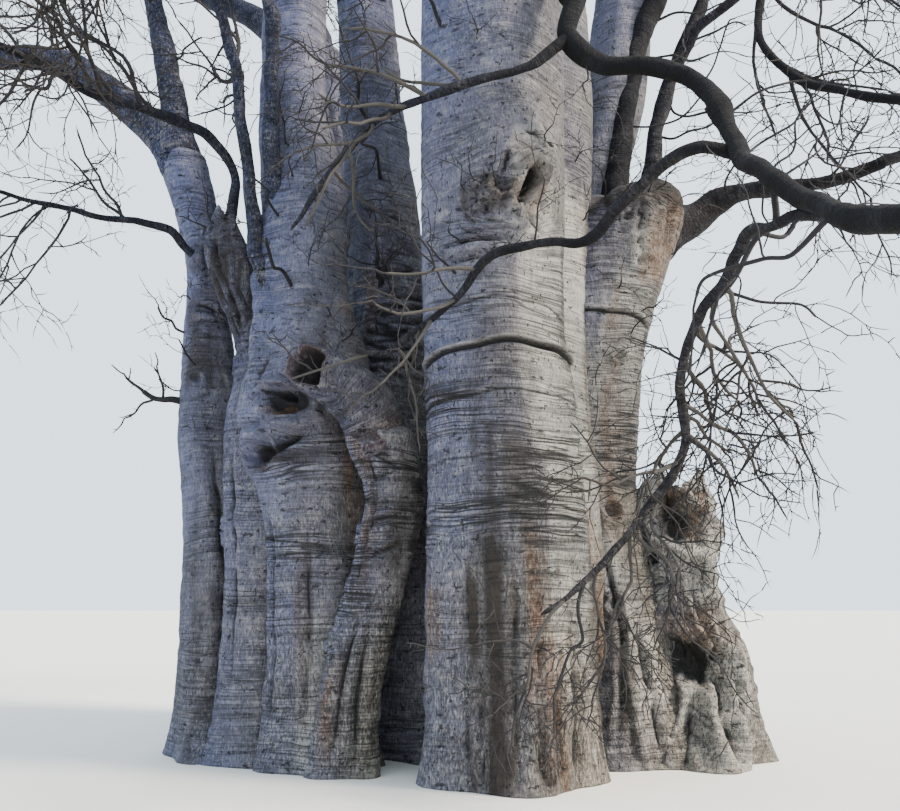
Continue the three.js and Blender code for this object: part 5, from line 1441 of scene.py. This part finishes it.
def barkShoot(count, stem, height, degrees, length, girth=shootForm["girth"]):
    x, y, radius = stemLine(stem, [height])[0]
    turn = np.array([math.radians(degrees)])
    out = barkRadius(stem, radius, height, turn)[0] - shootForm["sunk"]
    way = np.array([math.cos(turn[0]), math.sin(turn[0]), shootForm["rise"]])
    foot = np.array([x + out * math.cos(turn[0]), y + out * math.sin(turn[0]), height])
    return shootFrom(count, foot, way * length, length, girth)


def boughShoot(count, rows, share, way, length, girth):
    knots = chordKnots(rows)
    x, y, z, radius = lineAt(knots, rows, [share * knots[-1]])[0]
    way = np.array(Vector(way).normalized())
    foot = np.array([x, y, z]) + way * radius * shootForm["boughSunk"]
    return shootFrom(count, foot, way * length, length, girth)


def shootFrom(count, foot, way, length, girth):  # a small mass of its own, with a crooked line
    form, seed = shootForm, firstSeeds["shoots"] + count
    strays = np.random.default_rng(seed).normal(0, form["crook"], (form["pieces"] + 1, 3))
    crook = np.cumsum(strays, axis=0) * length
    crook -= crook[0]
    line = []
    for i, stray in enumerate(crook):
        part = i / form["pieces"]
        line.append((*(foot + way * part + stray), girth * (1 - form["taper"] * part)))
    least, share = form["reach"]
    return {
        "name": f"shoot_{count}", "line": line, "seed": mix(np.array([seed])), "spread": length,
        "reach": max(least, share * length), "side": form["sides"][length >= form["longFrom"]],
        "lift": form["lift"], "first": form["first"], "levels": form["levels"],
    }


def paint(hexColour):  # an sRGB hex colour as linear red, green, blue and alpha
    channels = [int(hexColour[i:i + 2], 16) / 255 for i in (1, 3, 5)]
    return (*[c / 12.92 if c <= 0.04045 else ((c + 0.055) / 1.055) ** 2.4 for c in channels], 1.0)


def addNode(tree, kind, inputs=None, stops=None, **settings):
    node = tree.nodes.new(f"ShaderNode{kind}")
    for name, value in settings.items():
        setattr(node, name, value)
    for i, (place, colour) in enumerate(stops or ()):
        stop = node.color_ramp.elements[i] if i < 2 else node.color_ramp.elements.new(place)
        stop.position, stop.color = place, colour
    for socket, value in (inputs or {}).items():
        if isinstance(value, bpy.types.NodeSocket):
            tree.links.new(value, node.inputs[socket])
        else:
            node.inputs[socket].default_value = value
    return node


def newMaterial(name):
    material = bpy.data.materials.new(name)
    material.use_nodes = True
    material.node_tree.nodes.clear()
    return material, material.node_tree


black, white = (0, 0, 0, 1), (1, 1, 1, 1)


# Bark: smooth and waxy where it is young, ringed by fine level cracks, ragged and cracked low
# down, grey, with painted light: a violet tint for the sky light high up, to the left and away from the key, and
# buff toward the key low down on the right; painted shade darkens its hollows, creases, fine cuts and some
# patches.
# It gives the eye a dull, soft surface. Sizes are in millimetres, across and along the stem.
barkFinish = {
    "buff": "#665f55", "paintedSkyLight": "#545b80", "shade": "#1e1e22", "bright": "#b4b0a8", "rust": "#67472c",
    "stainAndShade": "#231910", "hollow": "#070605", "spot": "#0c0b0c", "paintedShade": "#0b0a0d",
    "layers": {  # across, along, detail, roughness
        "mottle": (900, 700, 3, 0.62), "blotch": (170, 120, 5, 0.62), "fleck": (20, 60, 3, 0.62),
        "cracks": (90, 260, 4, 0.62), "dashes": (36, 60, 1, 0.62), "scars": (150, 60, 2, 0.62),
        "grain": (9, 9, 2, 0.62), "lines": (1100, 40, 1.5, 0.5),
    },
    "cuts": {"rings": 0.07, "lines": 0.06, "cracks": 0.022},  # how wide each fine cut is
    "spots": {"dashes": (0.29, 0.32), "scars": (0.32, 0.345)},  # where each one's edge starts and ends
    "hollows": (0.12, 0.7),  # where the painted shade in hollows starts to darken and where it is full
    "everywhere": (0.85, 0.15),  # share of the level lines where the bark is ringed, and elsewhere
    "worn": (0.5, 0.3),  # share of the flecks where it is rough, and elsewhere
    # the pale mark brings in the bright tone, for pale bark and as the painted highlight on belt lips
    "washes": (("paleAndHighlight", "bright", 0.65), ("rust", "rust", 0.9)),  # mark, tone, strength
    "tones": (  # layer, where it starts and where it is full, tone, strength
        ("mottle", 0.40, 0.66, "shade", 0.35), ("blotch", 0.52, 0.70, "bright", 0.25),
        ("blotch", 0.46, 0.30, "shade", 0.35), ("fleck", 0.52, 0.66, "bright", 0.5),
        ("fleck", 0.47, 0.36, "shade", 0.8),
    ),
    "darks": (  # mark or cut, tone, strength
        # the rings, lines and cracks darken as painted shade in their fine grooves, deep is the painted shade in
        # hollows, and the dark tone is painted shade; dashes and scars are dark spots of the bark
        ("stainAndShade", "stainAndShade", 0.95), ("dashes", "spot", 0.9), ("scars", "spot", 0.8), ("paintedShade", "paintedShade", 1.0),
        ("lines", "spot", 0.85), ("cracks", "spot", 0.4), ("rings", "spot", 0.9), ("deep", "hollow", 0.9),
    ),
    "heights": (  # what stands out of the blotches or is cut into them
        ("fleck", 0.45), ("grain", 0.1), ("dashes", -0.35), ("scars", -0.5), ("lines", -0.5), ("cracks", -0.4),
        ("rings", -0.6),
    ),
    "roughness": 0.8, "ior": 1.45, "bump": (0.9, 0.04),
}
# Bark of the boughs: older and drier, browner, its painted shade nearly black
boughFinish = {
    **barkFinish, "buff": "#544d49", "paintedSkyLight": "#353f60", "rust": "#4a2c1f", "paintedShade": "#08080e",
    "roughness": 0.9, "ior": 1.3,
}


def barkMaterial(name, finish):
    material, tree = newMaterial(name)
    place = addNode(tree, "TexCoord").outputs["Object"]
    marks = {}
    for attribute, kinds in markKinds.items():
        colour = addNode(tree, "Attribute", attribute_name=attribute).outputs["Color"]
        marks.update(zip(kinds, addNode(tree, "SeparateColor", {"Color": colour}).outputs[:3]))

    sides = addNode(tree, "SeparateXYZ", {"Vector": place}).outputs
    level = addNode(tree, "Attribute", attribute_name="level").outputs["Fac"]
    levels = addNode(tree, "CombineXYZ", {"X": sides["X"], "Y": sides["Y"], "Z": level}).outputs["Vector"]
    layers = {}
    for layer, (across, along, detail, roughness) in finish["layers"].items():
        sizes = (1000 / across, 1000 / across, 1000 / along)
        source = levels if layer == "lines" else place
        spread = addNode(tree, "Mapping", {"Vector": source, "Scale": sizes}).outputs["Vector"]
        layers[layer] = addNode(tree, "TexNoise", {
            "Vector": spread, "Scale": 1.0, "Detail": detail, "Roughness": roughness,
        }).outputs["Fac"]

    shares = {kind: marks[kind] for kind in ("paleAndHighlight", "rust", "stainAndShade", "paintedShade")}
    some, worn = [
        addNode(tree, "Math", {0: mark, 1: share, 2: least}, operation="MULTIPLY_ADD").outputs[0]
        for mark, (share, least) in ((marks["rings"], finish["everywhere"]), (marks["rough"], finish["worn"]))
    ]
    # painted shade down the fine cuts
    for cut, source, share in (
        ("rings", marks["field"], marks["rings"]), ("lines", layers["lines"], some),
        ("cracks", layers["cracks"], marks["rough"]),
    ):
        away = addNode(tree, "Math", {0: source, 1: 0.5}, operation="SUBTRACT").outputs[0]
        away = addNode(tree, "Math", {0: away}, operation="ABSOLUTE").outputs[0]
        stops = [(finish["cuts"][cut] * 0.3, white), (finish["cuts"][cut], black)]
        line = addNode(tree, "ValToRGB", {"Fac": away}, stops=stops).outputs["Color"]
        shares[cut] = addNode(tree, "Math", {0: line, 1: share}, operation="MULTIPLY").outputs[0]
    for spot, (full, edge) in finish["spots"].items():
        stops = [(full, white), (edge, black)]
        shares[spot] = addNode(tree, "ValToRGB", {"Fac": layers[spot]}, stops=stops).outputs["Color"]
    stops = list(zip(finish["hollows"], (black, white)))
    # painted shade in hollows, creases and knot holes
    shares["deep"] = addNode(tree, "ValToRGB", {"Fac": marks["hollow"]}, stops=stops).outputs["Color"]

    steps = [(shares[kind], tone, strength) for kind, tone, strength in finish["washes"]]
    for layer, low, high, tone, strength in finish["tones"]:
        stops = sorted([(low, black), (high, white)])
        share = addNode(tree, "ValToRGB", {"Fac": layers[layer]}, stops=stops).outputs["Color"]
        if layer == "fleck":
            share = addNode(tree, "Math", {0: share, 1: worn}, operation="MULTIPLY").outputs[0]
        steps.append((share, tone, strength))
    steps += [(shares[kind], tone, strength) for kind, tone, strength in finish["darks"]]
    # painted light: buff where the key falls, the violet tint for sky light elsewhere
    colour = addNode(tree, "Mix", {
        0: marks["paintedSkyLight"], 6: paint(finish["buff"]), 7: paint(finish["paintedSkyLight"]),
    }, data_type="RGBA").outputs[2]
    for share, tone, strength in steps:
        share = addNode(tree, "Math", {0: share, 1: strength}, operation="MULTIPLY").outputs[0]
        inputs = {0: share, 6: colour, 7: paint(finish[tone])}
        colour = addNode(tree, "Mix", inputs, data_type="RGBA").outputs[2]

    height = layers["blotch"]
    for kind, strength in finish["heights"]:
        inputs = {0: shares.get(kind, layers.get(kind)), 1: strength, 2: height}
        height = addNode(tree, "Math", inputs, operation="MULTIPLY_ADD").outputs[0]
    strength, distance = finish["bump"]
    relief = addNode(tree, "Bump", {"Height": height, "Strength": strength, "Distance": distance})
    shader = addNode(tree, "BsdfPrincipled", {
        "Base Color": colour, "Roughness": finish["roughness"], "IOR": finish["ior"],
        "Normal": relief.outputs["Normal"],
    })
    addNode(tree, "OutputMaterial", {"Surface": shader.outputs["BSDF"]})
    return material


# Bark of the twigs: dull and dry, one plain tone for each spray. The limb that carries them is first.
twigFinish = {
    "tones": (
        ("limb", "#18161a"), ("grey", "#242122"), ("brown", "#221d1a"), ("dusk", "#1a191f"),
        # a paler tone that paints the sky light on twigs that face the sky
        ("skyLit", "#3b3835"), ("mauve", "#2c2e39"),
    ),
    "roughness": 0.88, "ior": 1.45, "grain": 50,  # mm
    "bump": (0.8, 0.02),
}


def twigMaterials(finish):
    materials = []
    for tone, colour in finish["tones"]:
        material, tree = newMaterial(f"baobab_twig_bark_{tone}")
        place = addNode(tree, "TexCoord").outputs["Object"]
        grain = addNode(tree, "TexNoise", {
            "Vector": place, "Scale": 1000 / finish["grain"], "Detail": 3.0,
        })
        strength, distance = finish["bump"]
        relief = addNode(tree, "Bump", {
            "Height": grain.outputs["Fac"], "Strength": strength, "Distance": distance,
        })
        shader = addNode(tree, "BsdfPrincipled", {
            "Base Color": paint(colour), "Roughness": finish["roughness"], "IOR": finish["ior"],
            "Normal": relief.outputs["Normal"],
        })
        addNode(tree, "OutputMaterial", {"Surface": shader.outputs["BSDF"]})
        materials.append(material)
    return materials


stemBark = barkMaterial("baobab_stem_bark", barkFinish)
boughBarkFinish = barkMaterial("baobab_bough_bark", boughFinish)
twigBark = twigMaterials(twigFinish)
print("bark finishes ready")

for i, name in enumerate(stems):
    dressStem(name, firstSeeds["stems"] + seedStep * i, stemBark)
print("bark on", len(stems), "stems")

for i, (name, rows) in enumerate(boughRows.items()):
    dressBough(name, rows, firstSeeds["boughs"] + seedStep * i, boughBarkFinish)
print("bark on", len(boughRows), "boughs")


packedRings = {"flare": (0.35, 0.85, 1.8), "apart": 1.75}  # in heights of the flare, and in metres


def ringHeights(top):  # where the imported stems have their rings
    heights = [0, *[flareHeight * share for share in packedRings["flare"]]]
    span = top - heights[-1]
    count = math.ceil(span / packedRings["apart"] - 1e-9)
    return heights + [heights[-1] + span * i / count for i in range(1, count + 1)]


def limbLines():  # the lines of all limbs, with the radius that twigs stay off
    lines = []
    for stem in stems.values():
        heights = np.array(ringHeights(stem["line"][-1][0]))
        x, y, radius = stemLine(stem, heights).T
        spread = radius * (1 + lobeDepth) + stem["flare"] * np.exp(-heights / flareHeight)
        lines.append(np.stack([x, y, heights, spread], axis=1))
    return lines + [np.array(rows) for rows in boughRows.values()]


def dressMasses(materials, limbMaterial):
    masses = []
    for i, bough in enumerate(bough for bough in boughRows if bough != "bough_stub"):
        mass = {"name": bough.replace("bough", "twigs"), **crownMass, **ownTips.get(bough, {})}
        seed = mix(np.array([firstSeeds["tips"] + i]))
        masses.append({**mass, "seed": seed, "line": tipStem(mass, boughRows[bough], seed)})
    for i, (name, mass) in enumerate(limbMasses.items()):
        masses.append({"name": name, **mass, "seed": mix(np.array([firstSeeds["limbs"] + i]))})
    limbs = limbLines()
    carriers = {**stems, **boughRows}  # what shoots sprout from
    triangles = 0
    for mass in masses:
        name, levels = mass["name"], growTwigs(mass, masses, limbs)
        if name in limbLooks:
            carriers[name] = levels[0]["drawn"][0]
            seed = firstSeeds["limbBark"] + seedStep * len(mass["line"])
            dressBough(name, levels[0]["drawn"][0], seed, limbMaterial)
        mesh = sprayMesh(f"{name}_spray", [levels], first=name in limbLooks, tone=firstTones.get(name, 0))
        addPiece(mesh, [name], materials)
        triangles += len(mesh.loops) - 2 * len(mesh.polygons)
    print("twigs in", len(masses), "masses,", triangles, "triangles")
    shoots = []
    for grow, places in ((barkShoot, barkShoots), (boughShoot, boughShoots)):
        for name, marks in places:
            for mark in marks:
                shoots.append(grow(len(shoots), carriers[name], *mark))
    sprays = [growTwigs(shoot, masses, limbs) for shoot in shoots]
    addPiece(sprayMesh("bark_shoots", sprays, finer=shootForm["finer"]), [], materials)
    print("shoots at", len(shoots), "places on the bark")


dressMasses(twigBark, boughBarkFinish)


# Camera: standing eleven metres in front, looking a little upwards
view = {"place": (0, -11.0, 1.8), "tilt": 102.2, "lens": 36, "sensor": 36, "farthest": 500}
camera = bpy.data.objects.new("camera", bpy.data.cameras.new("camera"))
camera.data.lens, camera.data.sensor_width = view["lens"], view["sensor"]
camera.data.clip_end = view["farthest"]
camera.location = view["place"]
camera.rotation_euler = (math.radians(view["tilt"]), 0, 0)
bpy.context.scene.collection.objects.link(camera)
bpy.context.scene.camera = camera

# A plain pale floor and soft light: a broad warm key from the right and a pale sky all round
studio = {
    "floor": "#d9d7d2", "floorRoughness": 0.9, "floorSize": 300, "sky": "#d9e8f4", "skyStrength": 2.7,
    "keyColour": "#fff1de", "keyStrength": 10.5, "keySpread": 12, "keyTurn": (54, 0, 72),
}
ground = bmesh.new()
bmesh.ops.create_grid(ground, x_segments=1, y_segments=1, size=studio["floorSize"] / 2)
floorMesh = bpy.data.meshes.new("floor")
ground.to_mesh(floorMesh)
ground.free()
floor = bpy.data.objects.new("floor", floorMesh)
bpy.context.scene.collection.objects.link(floor)
floorFinish, tree = newMaterial("matt_floor")
floorShader = addNode(tree, "BsdfPrincipled", {
    "Base Color": paint(studio["floor"]), "Roughness": studio["floorRoughness"],
})
addNode(tree, "OutputMaterial", {"Surface": floorShader.outputs["BSDF"]})
floorMesh.materials.append(floorFinish)

key = bpy.data.objects.new("key", bpy.data.lights.new("key", "SUN"))
key.data.color, key.data.energy = paint(studio["keyColour"])[:3], studio["keyStrength"]
key.data.angle = math.radians(studio["keySpread"])
key.rotation_euler = [math.radians(angle) for angle in studio["keyTurn"]]
bpy.context.scene.collection.objects.link(key)

world = bpy.data.worlds.new("sky")
bpy.context.scene.world = world
world.use_nodes = True
background = world.node_tree.nodes["Background"].inputs
background["Color"].default_value = paint(studio["sky"])
background["Strength"].default_value = studio["skyStrength"]
print("camera, floor and lights in place")
